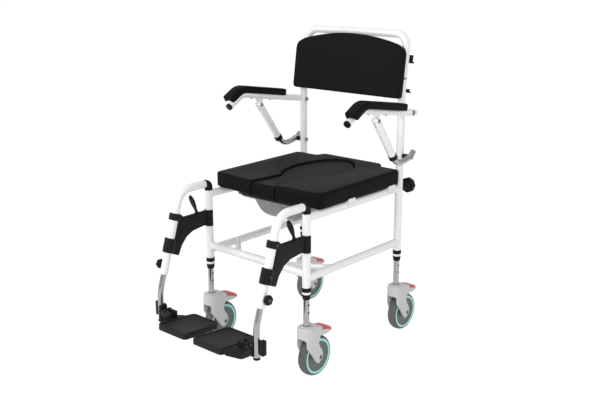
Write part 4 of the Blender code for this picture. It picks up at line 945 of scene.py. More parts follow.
BRACKET_CURVE = mm((-284.9, 336), (-269.9, 366.7), (-248.9, 389.5), (-222.9, 402), (-179.4, 407.7))
LEVER_HALF = mm((4, -2), (4.2, 12), (7.6, 24), (10.4, 38), (10.4, 50), (7, 60), (3, 66))
LEVER_ROUNDS = mm(0, 3, 5, 5, 5, 3, 1.5)
KNOB_CAP = mm((0, 13.8), (4.5, 13.8), (5.5, 12.8), (5.5, 10), (0, 10))
TUBE_CAP = mm((-2, 138.5), (0, 140), (0, 145.5), (-0.6, 146.2))
CLAMP_BLOCKS = (
    ((-0.0145, -0.0135, 0.149), (-0.0030, 0.0135, 0.194), 0.0020),
    ((-0.0110, 0.0075, 0.154), (0.0140, 0.0135, 0.196), 0.0020),
    ((0.0110, -0.0020, 0.154), (0.0260, 0.0150, 0.200), 0.0030),
    ((FOOT_HINGE.x - LEG_X, -0.007, FOOT_HINGE.z - 0.0115), (0, 0.007, FOOT_HINGE.z + 0.0115), 0.0012),
)


def down_the_hanger(distance):
    return HANGER_CORNER + heading_of(HANGER_HEADING) * distance


def hanger(side, sign):
    x = sign * LEG_X
    shape = bmesh.new()
    bend = tangent(HANGER_BEND_R, HANGER_TURN)
    course(shape, side_plane(x), (HANGER_START_Y, HANGER_Z), 180,
           [(HANGER_START_Y - HANGER_CORNER.x - bend,), (HANGER_BEND_R, HANGER_TURN), (HANGER_LENGTH - bend,)],
           TUBE_R, domed_end(TUBE_R, 0.004), open_end(TUBE_R, EXTENSION_R + 0.0004), step=3)
    foot = LEG_TOP_Z + GAP
    course(shape, side_plane(x), (FRONT_Y, foot), 90,
           [(HANGER_Z - foot - ELBOW_BEND_R,), (ELBOW_BEND_R, 90),
            (FRONT_Y - ELBOW_BEND_R - HANGER_START_Y + 0.0008,)],
           ELBOW_R, closed_end(ELBOW_R, 0.0008), closed_end(ELBOW_R, 0.0010), finish=1)
    rod(shape, (x, FRONT_Y, PIVOT_PIN_LOW_Z), (x, FRONT_Y, LEG_TOP_Z + 0.004), PIVOT_PIN_R, finish=1)
    piece(shape, f"hanger_{side}", f"hanger_{side}", ["white_powder_coat", "black_plastic"],
          [f"hanger_tube_{side}"])


def bracket(side, sign):
    x, rear = sign * LEG_X, FRONT_Y - TUBE_R
    upper, lower = down_the_hanger(CLAMPS[0][0] + 0.002), down_the_hanger(CLAMPS[1][1] + 0.002)
    web = [(rear, BRACKET_TOP_Z - 0.0005), (-0.2569, BRACKET_TOP_Z - 0.002), (upper.x + 0.016, upper.y - 0.002),
           tuple(upper), tuple(lower), *BRACKET_CURVE, (rear, 0.408)]
    shape = bmesh.new()
    slab(shape, web, -BRACKET_HALF_THICKNESS, BRACKET_HALF_THICKNESS, side_plane(x), 0, 0.0016, 3)
    for start, end in CLAMPS:
        rod(shape, (x, *down_the_hanger(start)), (x, *down_the_hanger(end)), CLAMP_R, sides=56, chamfer=0.0016)
    rod(shape, (x, FRONT_Y, SADDLE_BOTTOM_Z), (x, FRONT_Y, BRACKET_TOP_Z), SADDLE_R, sides=56, chamfer=0.0012)
    made = as_object(shape, f"bracket_{side}")
    shape = bmesh.new()
    rod(shape, (x, FRONT_Y, 0.38), (x, FRONT_Y, 0.48), TUBE_R + 0.0004, sides=56)
    block(shape, (x - 0.03, FRONT_Y + 0.002, 0.38), (x + 0.03, FRONT_Y + 0.05, 0.48), edge=0)
    carve(made, as_object(shape, "leg_space"), use_self=True)
    with reopened(made) as shape:
        for start, end in CLAMPS:
            centre = down_the_hanger((start + end) / 2)
            bolt(shape, (x + sign * CLAMP_R * 0.96, *centre), (sign, 0, 0), 0.0035, 0.0014)
        bolt(shape, (x + SADDLE_R * 0.97, FRONT_Y - 0.002, 0.4380), (1, 0, 0), 0.0036, 0.0022)
    settle(made, f"hanger_{side}", BLACK_AND_SCREWS, [f"hanger_bracket_{side}"])


def latch_lever(side, sign):
    shape = bmesh.new()
    lean = Matrix.Rotation(radians(LEVER_LEAN), 4, "X")
    place = Matrix.Translation((sign * LEG_X, LEVER.y, LEVER.z)) @ lean @ FACING
    slab(shape, both_halves(LEVER_HALF), -0.0036, 0.0036, place, LEVER_ROUNDS + LEVER_ROUNDS[::-1], 0.0022, 4)
    cross_pin(shape, sign * LEG_X, LEVER.y, LEVER.z, 0.006, 0.0044, sides=28)
    piece(shape, f"lever_{side}", f"lever_{side}", BLACK, [f"latch_lever_{side}"])


def height_knob(side, sign):
    shape = bmesh.new()
    face, seat, tip = HEIGHT_KNOB_FACE, TUBE_R + GAP, EXTENSION_R + 0.0006
    place = standing((sign * LEG_X, HEIGHT_KNOB.y, HEIGHT_KNOB.z), (sign, 0, 0))
    lobed(shape, HEIGHT_KNOB_R, face, face + 0.013, place)
    lathe(shape, [(0, face + 0.001), (0.0085, face + 0.001), (0.0065, seat), (0.0040, seat), (0.0040, tip),
                  (0, tip)], place, 32)
    lathe(shape, shifted(KNOB_CAP, 0, face), place, 32, finish=1)
    piece(shape, f"footrest_knob_{side}", f"height_knob_{side}", BLACK_AND_SCREWS, [f"height_knob_{side}"])


def extension(side, sign):
    x = sign * LEG_X
    shape = bmesh.new()
    corner = (HANGER_CORNER.x - EXTENSION_Y) / sin(radians(HANGER_TILT))
    bend = tangent(EXTENSION_BEND_R, HANGER_TILT)
    start = HANGER_LENGTH - EXTENSION_OVERLAP
    drop = down_the_hanger(corner).y - bend - EXTENSION_FOOT_Z
    course(shape, side_plane(x), down_the_hanger(start), HANGER_HEADING,
           [(corner - bend - start,), (EXTENSION_BEND_R, HANGER_TILT), (drop,)], EXTENSION_R, sides=48,
           step=1.5)
    lathe(shape, ring(0, shifted(TUBE_CAP, EXTENSION_R + 0.0012, 0)),
          Matrix.Translation((x, EXTENSION_Y, 0)), 40, finish=1)
    piece(shape, f"extension_{side}", f"extension_{side}", ["chrome_plate", "black_plastic"],
          [f"extension_tube_{side}"])


def footplate_clamp(side, sign):
    y, z, hinge_x = EXTENSION_Y, FOOT_HINGE.z, sign * FOOT_HINGE.x
    corner = Vector((LEG_X, y, 0))
    shape = bmesh.new()
    for low, high, edge in CLAMP_BLOCKS:
        side_block(shape, sign, corner + Vector(low), corner + Vector(high), edge=edge)
    rod(shape, (hinge_x, y - 0.007, z), (hinge_x, y + 0.007, z), 0.0125, chamfer=0.001)
    rod(shape, (hinge_x, y - HINGE_HALF_LENGTH, z), (hinge_x, y + HINGE_HALF_LENGTH, z), HINGE_PIN_R, sides=24,
        finish=1)
    bolt(shape, (sign * (LEG_X - 0.009), y - 0.0135, 0.1860), (0, -1, 0), 0.0034, 0.0014)
    piece(shape, f"clamp_{side}", f"extension_{side}", BLACK_AND_SCREWS, [f"footplate_clamp_{side}"])


def footplate(side, sign):
    y, z, hinge_x = EXTENSION_Y, FOOT_HINGE.z, sign * FOOT_HINGE.x
    place = Matrix.Translation((0, y, PLATE_TOP_Z)) @ Matrix.Rotation(radians(-PLATE_TILT), 4, "X")
    front, back = PLATE_FRONT_Y - y, PLATE_BACK_Y - y

    def outline(inset):
        return flipped([
            (PLATE_INNER_X + inset, front + inset), (PLATE_OUTER_X - inset, front + inset),
            (PLATE_OUTER_X - PLATE_NARROWING - inset, back - inset),
            (PLATE_INNER_X + PLATE_NARROWING + inset, back - inset)], sign)

    made = alone(f"plate_{side}", slab, outline(0), -PLATE_THICKNESS, 0, place, PLATE_CORNER, 0.0020, 4)
    carve(made, alone("tread", slab, outline(TREAD_INSET), -TREAD_DEPTH, 0.02, place, 0.010, 0.0008, 2))
    inner = PLATE_OUTER_X - 0.014
    wing = [(inner, front + 0.008), (PLATE_OUTER_X + 0.004, front + 0.012), (WING_X, -0.018), (WING_X, 0.018),
            (PLATE_OUTER_X + 0.010, 0.042), (inner, 0.050)]
    with reopened(made) as shape:
        with added(shape, place) as web:
            slab(web, flipped(wing, sign), WEB_LOW_Z, -0.002, FLAT, mm(0, 6, 6, 6, 20, 0), 0.0016, 3)
            for vert in web.verts:
                if vert.co.z < -0.010:
                    vert.co.z -= WEB_DEEPENS * share_of(abs(vert.co.x), PLATE_OUTER_X, WING_X)
        for way in (-1, 1):
            low, high = sorted((y + way * 0.0073, y + way * 0.015))
            side_block(shape, sign, (PLATE_OUTER_X + 0.008, low, z - 0.0105), (FOOT_HINGE.x, high, z + 0.0105),
                       edge=0.001)
            rod(shape, (hinge_x, low, z), (hinge_x, high, z), 0.013, chamfer=0.0008)
    settle(made, f"footplate_{side}", ["footplate_plastic"], [f"footplate_{side}"])


class CHAIR_OT_footrests(bpy.types.Operator):
    """Hangers, brackets, levers, extension tubes, height knobs and footplates"""

    bl_idname = "chair.footrests"
    bl_label = "Footrests"

    def execute(self, context):
        for side, sign in SIDES:
            for make in (hanger, bracket, latch_lever, height_knob, extension, footplate_clamp, footplate):
                make(side, sign)
        return {"FINISHED"}


# Armrests

def along_the_arm(distance, aside=0.0):
    """A point (y, z) this far in front of the arm's pivot; aside is to the left of the way ahead."""
    along = heading_of(ARM_HEADING)
    return Vector((ARM.y, ARM.z)) + along * distance + left_of(along) * aside


def down_the_brace(distance):
    return Vector((BRACE.y, BRACE.z)) + heading_of(BRACE_HEADING) * distance


def inner_nut(shape, sign, y, z, finish=1):
    inner = LEG_X - TUBE_R - (GAP if finish else 0)
    washer(shape, (sign * inner, y, z), (-sign, 0, 0), PIVOT_WASHER_R, finish=finish)
    hex_nut(shape, (sign * (inner - 0.0010), y, z), (-sign, 0, 0), 0.0062, 0.0042, finish=finish)


def pivot_bolt(shape, sign, y, z, nut):
    way = (sign, 0, 0)
    rod(shape, (sign * (LEG_X + TUBE_R + GAP), y, z), (sign * (ARM.x - 0.005), y, z), SPACER_R,
        finish=0 if nut else 2, chamfer=0.0008)
    face = ARM.x + (ARM_TUBE_R if nut else CHROME_R)
    washer(shape, (sign * (face - 0.0010), y, z), way, PIVOT_WASHER_R)
    bolt(shape, (sign * face, y, z), way, 0.0056, 0.0036)
    if nut:
        inner = LEG_X - TUBE_R - GAP
        rod(shape, (sign * (inner - 0.001), y, z), (sign * (LEG_X + TUBE_R + 0.002), y, z), 0.004, sides=24,
            finish=1)
        inner_nut(shape, sign, y, z)


def arm_tube(side, sign):
    x = sign * ARM.x
    shape = bmesh.new()
    bend = tangent(ARM_BEND_R, ARM_BEND)
    course(shape, side_plane(x), along_the_arm(-ARM_BEHIND), ARM_HEADING,
           [(ARM_LENGTH + ARM_BEHIND - bend,), (ARM_BEND_R, ARM_BEND), (ARM_FRONT - bend,)], ARM_TUBE_R,
           domed_end(ARM_TUBE_R, 0.009), step=2.5)
    down = heading_of(ARM_HEADING + ARM_BEND)
    end = along_the_arm(ARM_LENGTH) + down * ARM_FRONT
    cap_r = ARM_TUBE_R + 0.0006
    rod(shape, (x, *(end - down * 0.004)), (x, *(end + down * 0.0034)), cap_r, closed_end(cap_r, 0.0004),
        closed_end(cap_r, 0.0014), finish=2)
    above = along_the_arm((ARM.y - BRACE.y) / cos(radians(ARM_RISE))).y
    tab = [(BRACE.y - 0.008, BRACE.z - 0.008), (BRACE.y + 0.008, BRACE.z - 0.008), (BRACE.y + 0.020, above),
           (BRACE.y - 0.020, above)]
    slab(shape, tab, -0.0021, 0.0021, side_plane(x), [0.007, 0.007, 0, 0], 0.0006, 2)
    for distance in PAD_SCREWS:
        foot = along_the_arm(distance, ARM_TUBE_R - 0.0006)
        bolt(shape, (x, *foot), (0, *left_of(heading_of(ARM_HEADING))), 0.0042, 0.0030)
    pivot_bolt(shape, sign, ARM.y, ARM.z, True)
    piece(shape, f"arm_{side}", f"arm_{side}", COAT_AND_FITTINGS, [f"arm_tube_{side}"])


def arm_pad(side, sign):
    x = sign * (ARM.x + PAD_OUT)
    shape = bmesh.new()
    half, high, low, tube = PAD_HALF_WIDTH, PAD_TOP, ARM_TUBE_R - 0.0050, ARM_TUBE_R
    section = [(-half, low), (-half, high - 0.004), (0.004 - half, high - 0.0008), (0, high),
               (half - 0.004, high - 0.0008), (half, high - 0.004), (half, low), (half - 0.006, low - 0.0006),
               (tube * 0.93, low + 0.002), (0, tube + 0.0002), (-tube * 0.93, low + 0.002),
               (0.006 - half, low - 0.0006)]
    ahead = heading_of(ARM_HEADING)
    start = along_the_arm(PAD_START)
    bend = tangent(ARM_BEND_R, ARM_BEND)
    corners = [shape.verts.new((x + a, *(start - left_of(ahead) * b))) for a, b in section]
    first = face = shape.faces.new(corners)

    def run(reach, way, steps):
        nonlocal face
        for _ in range(steps):
            grown = bmesh.ops.extrude_face_region(shape, geom=[face])["geom"]
            bmesh.ops.translate(shape, verts=of_kind(grown, BMVert),
                                vec=(0, way.x * reach / steps, way.y * reach / steps))
            old, face = face, of_kind(grown, BMFace)[0]
            if old is not first:
                shape.faces.remove(old)

    run(ARM_LENGTH - bend - PAD_START, ahead, 10)
    centre = along_the_arm(ARM_LENGTH - bend) + left_of(ahead) * ARM_BEND_R
    turned = bmesh.ops.spin(
        shape, geom=[face], cent=(x, *centre), axis=(1, 0, 0), angle=radians(ARM_BEND), steps=10,
        use_merge=False)["geom_last"]
    shape.faces.remove(face)
    face = of_kind(turned, BMFace)[0]
    run(ARM_FRONT - bend - PAD_FRONT_SHORT, heading_of(ARM_HEADING + ARM_BEND), 5)
    soften(shape, set(first.edges) | set(face.edges), 0.0045, 4)
    made = as_object(shape, f"pad_{side}")
    moulded(made, 0.0016, 5)
    settle_foam(made, f"arm_{side}", f"arm_pad_{side}")


def brace(side, sign):
    x = sign * ARM.x
    made = alone(f"brace_{side}", rod, (x, *down_the_brace(-BRACE_BEHIND)), (x, *down_the_brace(BRACE_LENGTH)),
                 TUBE_R, domed_end(TUBE_R, 0.010), open_end(TUBE_R, CHROME_R + 0.0004))
    wide = left_of(heading_of(BRACE_HEADING)) * 0.0225
    near, far = down_the_brace(-0.03), down_the_brace(CLEVIS_DEPTH)
    slot = [near - wide, near + wide, far + wide, far - wide]
    carve(made, alone("clevis_slot", slab, slot, -CLEVIS_SLOT, CLEVIS_SLOT, side_plane(x)))
    with reopened(made) as shape:
        for way in (-1, 1):
            spot = Vector((x + way * (TUBE_R - 0.0012), BRACE.y, BRACE.z))
            washer(shape, spot, (way, 0, 0), 0.0066, 0.0016)
            bolt(shape, spot + Vector((way * 0.0014, 0, 0)), (way, 0, 0), 0.0048, 0.0026)
        cross_pin(shape, x, BRACE.y, BRACE.z, TUBE_R, 0.003, sides=24, finish=1)
        cuff_r = TUBE_R + 0.0015
        rod(shape, (x, *down_the_brace(BRACE_LENGTH - 0.012)), (x, *down_the_brace(BRACE_LENGTH + 0.0045)),
            cuff_r, closed_end(cuff_r, 0.0012), open_end(cuff_r, CHROME_R + 0.0003, 0.006), finish=2)
    settle(made, f"brace_{side}", COAT_AND_FITTINGS, [f"brace_tube_{side}"])


def hook(side, sign):
    shape = bmesh.new()
    straight = BRACE_LENGTH + 0.001 - HOOK_START
    course(shape, side_plane(sign * ARM.x), down_the_brace(HOOK_START), BRACE_HEADING,
           [(straight,), *HOOK_BENDS, (HOOK_END,)], CHROME_R, tail=domed_end(CHROME_R, 0.004), sides=48, step=3)
    pivot_bolt(shape, sign, REAR_Y, HOOK_PIVOT_Z, False)
    piece(shape, f"hook_{side}", f"hook_{side}", ["chrome_plate", "zinc_steel", "black_plastic"],
          [f"brace_hook_{side}"])
    shape = bmesh.new()
    inner_nut(shape, sign, REAR_Y, HOOK_PIVOT_Z, finish=0)
    piece(shape, f"hook_nut_{side}", "frame", ["zinc_steel"])


class CHAIR_OT_armrests(bpy.types.Operator):
    """Arm tubes, pads, braces and their hooks"""

    bl_idname = "chair.armrests"
    bl_label = "Armrests"

    def execute(self, context):
        for side, sign in SIDES:
            for make in (arm_tube, arm_pad, brace, hook):
                make(side, sign)
        return {"FINISHED"}


# Seat, insert, pan, backrest and rear knobs

PAN_GUIDE = mm((0, 525), (7, 525), (7, 507.5), (-9, 507.5), (-9, 510.5), (0, 510.5))
GUIDE_SPAN = mm(-284.1, 85.9)


def key_outline(grow, front):
    """An oval with a tongue that runs out to the front."""
    tongue = TONGUE_HALF_WIDTH + grow
    wide, long = KEY_HALF_WIDTH + grow, KEY_HALF_LENGTH + grow
    start = -acos(tongue / wide)
    count = 44
    turns = [start + (pi - 2 * start) * k / count for k in range(count + 1)]
    oval = [(wide * cos(turn), KEY_Y + long * sin(turn)) for turn in turns]
    return oval + [(-tongue, front), (tongue, front)]


def dish(made, depth, top):
    """Sinks the middle of the top and raises its rear; what lies below the ledge stays."""
    for vert in made.data.vertices:
        inside = max(0.0, 1 - (vert.co.x / DISH_HALF_WIDTH) ** 2)
        inside *= max(0.0, 1 - ((vert.co.y - DISH_Y) / DISH_HALF_LENGTH) ** 2)
        rise = SEAT_REAR_RISE * share_of(vert.co.y, SEAT_FRONT_Y, SEAT_FRONT_Y + SEAT_RISE_LENGTH)
        vert.co.z += (rise - depth * inside) * share_of(vert.co.z, LEDGE_Z, top)


def seat_foam(depth):
    half = [(0.060, SEAT_FRONT_Y), (SEAT_HALF_WIDTH, SEAT_FRONT_Y + 0.013), (SEAT_HALF_WIDTH, 0.2985),
            (0.133, 0.3015), (0.125, 0.3355)]
    rounds = mm(40, 16, 14, 6, 14)
    made = alone("seat_foam", slab, both_halves(half), SEAT_LOW_Z, SEAT_TOP_Z + 0.0008, FLAT,
                 rounds + rounds[::-1], 0.0155, 6)
    wide, beyond, below = TONGUE_HALF_WIDTH + KEY_GAP, SEAT_FRONT_Y - 0.03, SEAT_LOW_Z - 0.02
    over = LEDGE_Z + 0.01
    carve(
        made,
        alone("upper", slab, key_outline(KEY_GAP, beyond), LEDGE_Z, SEAT_TOP_Z + 0.02),
        alone("lower", slab, key_outline(-LEDGE_WIDTH, beyond), below, over),
        alone("apron_space", block, (-wide, beyond, below), (wide, APRON_BACK_Y + 0.001, over), edge=0))
    moulded(made, 0.0028, 3)
    dish(made, depth, SEAT_TOP_Z)
    settle_foam(made, "frame", "seat")


def insert_foam(depth):
    """The lift-out insert, whose tongue ends in an apron that comes down the seat's front face."""
    shape = bmesh.new()
    low, top = LEDGE_Z + GAP, INSERT_TOP_Z - INSERT_SUNK
    slab(shape, key_outline(-INSERT_GAP, SEAT_FRONT_Y + 0.010), low, top, FLAT, 0, 0.004, 4)
    half, front, back = TONGUE_HALF_WIDTH - INSERT_GAP, SEAT_FRONT_Y + 0.0004, APRON_BACK_Y + 0.02
    apron = [(APRON_BACK_Y, SEAT_LOW_Z), (front, SEAT_LOW_Z), (front, top), (back, top), (back, low),
             (APRON_BACK_Y, low)]
    slab(shape, apron, -half, half, SIDE, mm(2, 6, 12, 0, 0, 0), 0.004, 3)
    made = as_object(shape, "insert_foam")
    moulded(made, 0.0022, 4)
    dish(made, depth, INSERT_TOP_Z)
    settle_foam(made, "insert", "seat_insert")


class CHAIR_OT_seat(bpy.types.Operator):
    """The moulded seat, its clips and pan guides, and the lift-out insert"""

    bl_idname = "chair.seat"
    bl_label = "Seat"

    def execute(self, context):
        depth = context.scene.chair_details.seat_dish
        seat_foam(depth)
        insert_foam(depth)
        shape = bmesh.new()
        for _, sign in SIDES:
            for start, end in SEAT_CLIPS:
                side_block(shape, sign, (LEG_X - 0.0165, start, SEAT_RAIL_Z - 0.001),
                           (LEG_X + 0.0178, end, SEAT_LOW_Z + 0.0085), edge=0.0018)
        piece(shape, "seat_clips", "frame", ["clip_plastic"], ())
        shape = bmesh.new()
        guide = shifted(PAN_GUIDE, PAN_HALF_WIDTH + 0.0006, 0)
        for _, sign in SIDES:
            slab(shape, flipped(guide, sign), *GUIDE_SPAN, FACING, 0, 0.0005, 2)
        piece(shape, "pan_guides", "frame", ["pan_plastic"], ())
        return {"FINISHED"}


# Each step of the bowl is how far it lies inside the rim, how deep, and how much of it is oval
BOWL_STEPS = (
    (-PAN_EDGE, 0, 0.35), (-0.0015, 0.0006, 0.6), (0.0006, 0.0035, 1), (0.0040, 0.0150, 1), (0.0095, 0.0300, 1),
    (0.0160, 0.0450, 1), (0.0215, 0.0545, 1), (0.0290, 0.0625, 1), (0.0390, 0.0690, 1), (0.0500, 0.0732, 1),
    (0.0620, PAN_DEPTH, 1))


class CHAIR_OT_pan(bpy.types.Operator):
    """The flanged pan under the seat"""

    bl_idname = "chair.pan"
    bl_label = "Pan"

    def execute(self, context):
        shape = bmesh.new()
        long = PAN_BACK_Y - PAN_FRONT_Y
        middle_y = (PAN_FRONT_Y + PAN_BACK_Y) / 2
        flange_x, flange_y = PAN_HALF_WIDTH - PAN_RIM, long / 2 - PAN_RIM
        verts = bmesh.ops.create_grid(shape, x_segments=1, y_segments=1, size=0.5)["verts"]
        bmesh.ops.scale(shape, verts=verts, vec=(2 * PAN_HALF_WIDTH, long, 1))
        round_off(shape, verts, PAN_CORNER, 16, affect="VERTICES")
        bmesh.ops.delete(shape, geom=list(shape.faces), context="FACES_ONLY")
        bmesh.ops.translate(shape, verts=shape.verts, vec=(0, middle_y, PAN_TOP_Z))
        edges = list(shape.edges)
        for inset, drop, oval in BOWL_STEPS:
            loop, edges = rim_of(bmesh.ops.extrude_edge_only(shape, edges=edges)["geom"])
            for vert in loop:
                turn = atan2((vert.co.y - middle_y) / flange_y, vert.co.x / flange_x)
                x, y = (copysign(abs(part) ** BOWL_SQUARENESS, part) for part in (cos(turn), sin(turn)))
                vert.co.x += ((BOWL_HALF_WIDTH - inset) * x - vert.co.x) * oval
                vert.co.y += ((BOWL_HALF_LENGTH - inset) * y + middle_y - vert.co.y) * oval
                vert.co.z = PAN_TOP_Z - drop
        bmesh.ops.edgeloop_fill(shape, edges=edges)
        made = as_object(shape, "pan_shell")
        wall = made.modifiers.new("wall", "SOLIDIFY")
        wall.thickness = PAN_WALL
        wall.offset = -1
        bake(made)
        settle(made, "pan", ["pan_plastic"], ["pan"], sharp=50)
        return {"FINISHED"}


# The backrest's hooks seen from above, and how high each strap runs and how far out its lip comes
HOOK_STRAPS = mm((84, 110, 11.2), (84, 89, 16), (-9, 3, 11.2), (-9, -4, 16))
STRAP_FRONT = mm((-13.2, -6), (-8.5, -13), (0, -15))
STRAP_LIP = mm((-3, -15), (0, -20.5), (0, -29), (-3.5, -29), (-3.8, -21.5), (-6, -18.8))
STRAP_BACK = mm((-2, -18.8), (-11, -16.5), (-16.8, -8.5))
SEEN_FROM_ABOVE = Matrix(((1, 0, 0, 0), (0, -1, 0, 0), (0, 0, 1, 0), (0, 0, 0, 1)))


class CHAIR_OT_backrest(bpy.types.Operator):
    """The moulded backrest and the hooks that hold it to the posts"""

    bl_idname = "chair.backrest"
    bl_label = "Backrest"

    def execute(self, context):
        wrap = context.scene.chair_details.back_wrap
        half = [(BACK_HALF_WIDTH, BACK_LOW), (BACK_HALF_WIDTH, BACK_SHOULDER),
                (BACK_HALF_WIDTH - 0.019, BACK_SHOULDER + 0.017), (0.165, BACK_TOP - 0.019),
                (0.080, BACK_TOP - 0.004)]
        rounds = mm(12, 22, 16, 30, 36)
        near = TUBE_R + GAP
        made = alone("backrest_foam", slab, both_halves(half, (0, BACK_TOP)), near, near + BACK_THICKNESS, FLAT,
                     [*rounds, 0.036, *rounds[::-1]], 0.0085, 5)
        moulded(made, 0.0026, 4)
        for vert in made.data.vertices:
            past = max(0.0, abs(vert.co.x) - WRAP_START) / (BACK_HALF_WIDTH - WRAP_START)
            vert.co.z += wrap * past ** 2
        made.data.transform(BACK @ FACING)
        settle_foam(made, "frame", "backrest")
        shape = bmesh.new()
        for _, sign in SIDES:
            for low, high, out in HOOK_STRAPS:
                strap = [(-0.0168, near + 0.008), (-0.0130, near + 0.008), *STRAP_FRONT,
                         *shifted(STRAP_LIP, out, 0), *STRAP_BACK]
                slab(shape, flipped(shifted(strap, LEG_X, 0), sign), low, high, BACK @ SEEN_FROM_ABOVE, 0.0010,
                     0.0006, 2)
        piece(shape, "backrest_hooks", "frame", BLACK, ())
        return {"FINISHED"}


KNOB_STEM = mm((0, 1), (15, 1), (9.5, -6), (9, -26), (9.4, -30), (0, -30))
KNOB_CENTRE = mm((0, 21), (6, 21), (7.2, 20), (7.4, 18), (0, 18))


class CHAIR_OT_rear_knobs(bpy.types.Operator):
    """The hand knobs behind the rear posts"""

    bl_idname = "chair.rear_knobs"
    bl_label = "Rear knobs"

    def execute(self, context):
        face = TUBE_R + GAP
        head = face + KNOB_STAND
        for side, sign in SIDES:
            place = standing((sign * LEG_X, REAR_Y, SEAT_RAIL_Z), (0, 1, 0), "X")
            shape = bmesh.new()
            lobed(shape, KNOB_R, head, head + KNOB_HEIGHT, place, lobes=8, depth=0.055, edge=0.005)
            lathe(shape, shifted(KNOB_STEM, 0, head), place, 40)
            lathe(shape, shifted(KNOB_CENTRE, 0, head), place, 40)
            piece(shape, f"hand_knob_{side}", f"rear_knob_{side}", BLACK, [f"rear_knob_{side}"])
        return {"FINISHED"}


# Stage

AIM = Vector((0, 0, 0.5))
LAMPS = (
    ("key", (-1.2, -2.8, 1.7), (2.0, 1.6), 46),
    ("fill", (2.7, -1.7, 1.4), (1.6, 1.6), 32),
    ("top", (0.1, 0.3, 3.0), (2.4, 2.4), 8),
)
CAMERA_PLACE = (1.7416, -1.9254, 1.2031)
CAMERA_AROUND = radians(41.264)
CAMERA_UP = radians(15.294)
LENS_MM = 50.95
FLOOR_GLOW = 1.14
FLOOR_SHARE = 0.82
WORLD_LEVEL = 0.62


def seen_rays(tree, other):
    """1 for rays from the camera and for one other kind of ray, and 0 for the rest."""
    path = add_node(tree, "LightPath").outputs
    feeds = {0: path["Is Camera Ray"], 1: path[other]}
    return add_node(tree, "Math", {"operation": "MAXIMUM"}, {}, feeds).outputs["Value"]


def floor():
    shape = bmesh.new()
    bmesh.ops.create_grid(shape, x_segments=1, y_segments=1, size=30)
    ground = as_object(shape, "floor")
    if ground.data.polygons[0].normal.z < 0:
        ground.data.flip_normals()
    made = bpy.data.materials.new("pale_floor")
    made.use_nodes = True
    tree = made.node_tree
    shader = tree.nodes["Principled BSDF"]
    shader.inputs["Base Color"].default_value = (0.80, 0.80, 0.80, 1)
    shader.inputs["Roughness"].default_value = 0.9
    shader.inputs["Specular IOR Level"].default_value = 0.0
    glow = add_node(tree, "Emission", {}, {"Strength": FLOOR_GLOW})
    seen = seen_rays(tree, "Is Glossy Ray")
    share = add_node(tree, "Math", {"operation": "MULTIPLY"}, {1: FLOOR_SHARE}, {0: seen})
    mixed = add_node(tree, "MixShader", {}, {}, {
        "Fac": share.outputs["Value"], 1: shader.outputs["BSDF"], 2: glow.outputs["Emission"]})
    tree.links.new(mixed.outputs["Shader"], tree.nodes["Material Output"].inputs["Surface"])
    ground.data.materials.append(made)


def world():
    made = bpy.data.worlds.new("studio")
    bpy.context.scene.world = made
    made.use_nodes = True
    tree = made.node_tree
    back = tree.nodes["Background"].inputs
    back["Color"].default_value = (1, 1, 1, 1)
    level = add_node(tree, "MapRange", {}, {"To Min": WORLD_LEVEL, "To Max": 1.0},
                     {"Value": seen_rays(tree, "Is Transmission Ray")})
    tree.links.new(level.outputs["Result"], back["Strength"])


def lamp(name, place, size, power):
    light = bpy.data.lights.new(name, "AREA")
    light.shape = "RECTANGLE"
    light.size, light.size_y = size
    light.energy = power
    made = bpy.data.objects.new(name, light)
    made.location = place
    made.rotation_euler = (AIM - Vector(place)).to_track_quat("-Z", "Y").to_euler()
    bpy.context.scene.collection.objects.link(made)


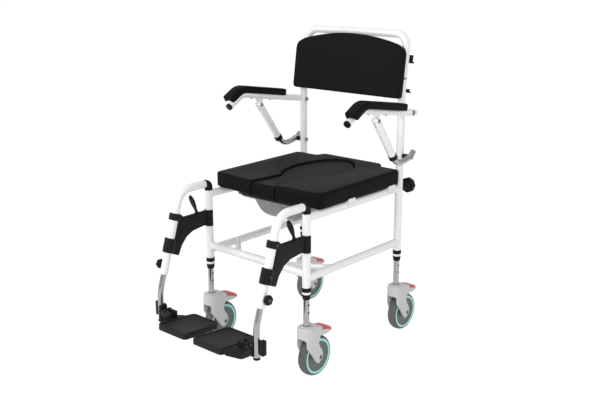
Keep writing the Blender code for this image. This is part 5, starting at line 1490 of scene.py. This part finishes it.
class CHAIR_OT_stage(bpy.types.Operator):
    """Floor, lights, background and camera"""

    bl_idname = "chair.stage"
    bl_label = "Stage"

    def execute(self, context):
        floor()
        world()
        for one in LAMPS:
            lamp(*one)
        lens = bpy.data.cameras.new("view")
        lens.lens = LENS_MM
        lens.sensor_width = 36
        camera = bpy.data.objects.new("view", lens)
        level = cos(CAMERA_UP)
        away = Vector((sin(CAMERA_AROUND) * level, -cos(CAMERA_AROUND) * level, sin(CAMERA_UP)))
        camera.location = CAMERA_PLACE
        camera.rotation_euler = (-away).to_track_quat("-Z", "Y").to_euler()
        context.scene.collection.objects.link(camera)
        context.scene.camera = camera
        context.scene.view_settings.view_transform = "Standard"
        return {"FINISHED"}


class CHAIR_PT_panel(bpy.types.Panel):
    bl_label = "Shower-commode chair"
    bl_idname = "CHAIR_PT_panel"
    bl_space_type = "VIEW_3D"
    bl_region_type = "UI"
    bl_category = "Chair"

    def draw(self, context):
        layout = self.layout
        for group in (context.scene.chair_finishes, context.scene.chair_details):
            for name in group.bl_rna.properties.keys():
                if name not in ("rna_type", "name"):
                    layout.prop(group, name)
        for operator in OPERATORS:
            layout.operator(operator.bl_idname)


OPERATORS = (
    CHAIR_OT_stage,
    CHAIR_OT_finishes,
    CHAIR_OT_frame_tubes,
    CHAIR_OT_leg_fittings,
    CHAIR_OT_casters,
    CHAIR_OT_footrests,
    CHAIR_OT_armrests,
    CHAIR_OT_seat,
    CHAIR_OT_pan,
    CHAIR_OT_backrest,
    CHAIR_OT_rear_knobs,
)
CLASSES = (ChairFinishes, ChairDetails, *OPERATORS, CHAIR_PT_panel)


def register():
    for cls in CLASSES:
        bpy.utils.register_class(cls)
    bpy.types.Scene.chair_finishes = bpy.props.PointerProperty(type=ChairFinishes)
    bpy.types.Scene.chair_details = bpy.props.PointerProperty(type=ChairDetails)


def unregister():
    del bpy.types.Scene.chair_details
    del bpy.types.Scene.chair_finishes
    for cls in reversed(CLASSES):
        bpy.utils.unregister_class(cls)


def main():
    for old in [o for o in bpy.data.objects if o.type in ("LIGHT", "CAMERA") or o.name == "Cube"]:
        bpy.data.objects.remove(old)
    register()
    for operator in OPERATORS:
        group, name = operator.bl_idname.split(".")
        getattr(getattr(bpy.ops, group), name)()
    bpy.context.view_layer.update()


if __name__ == "__main__":
    main()
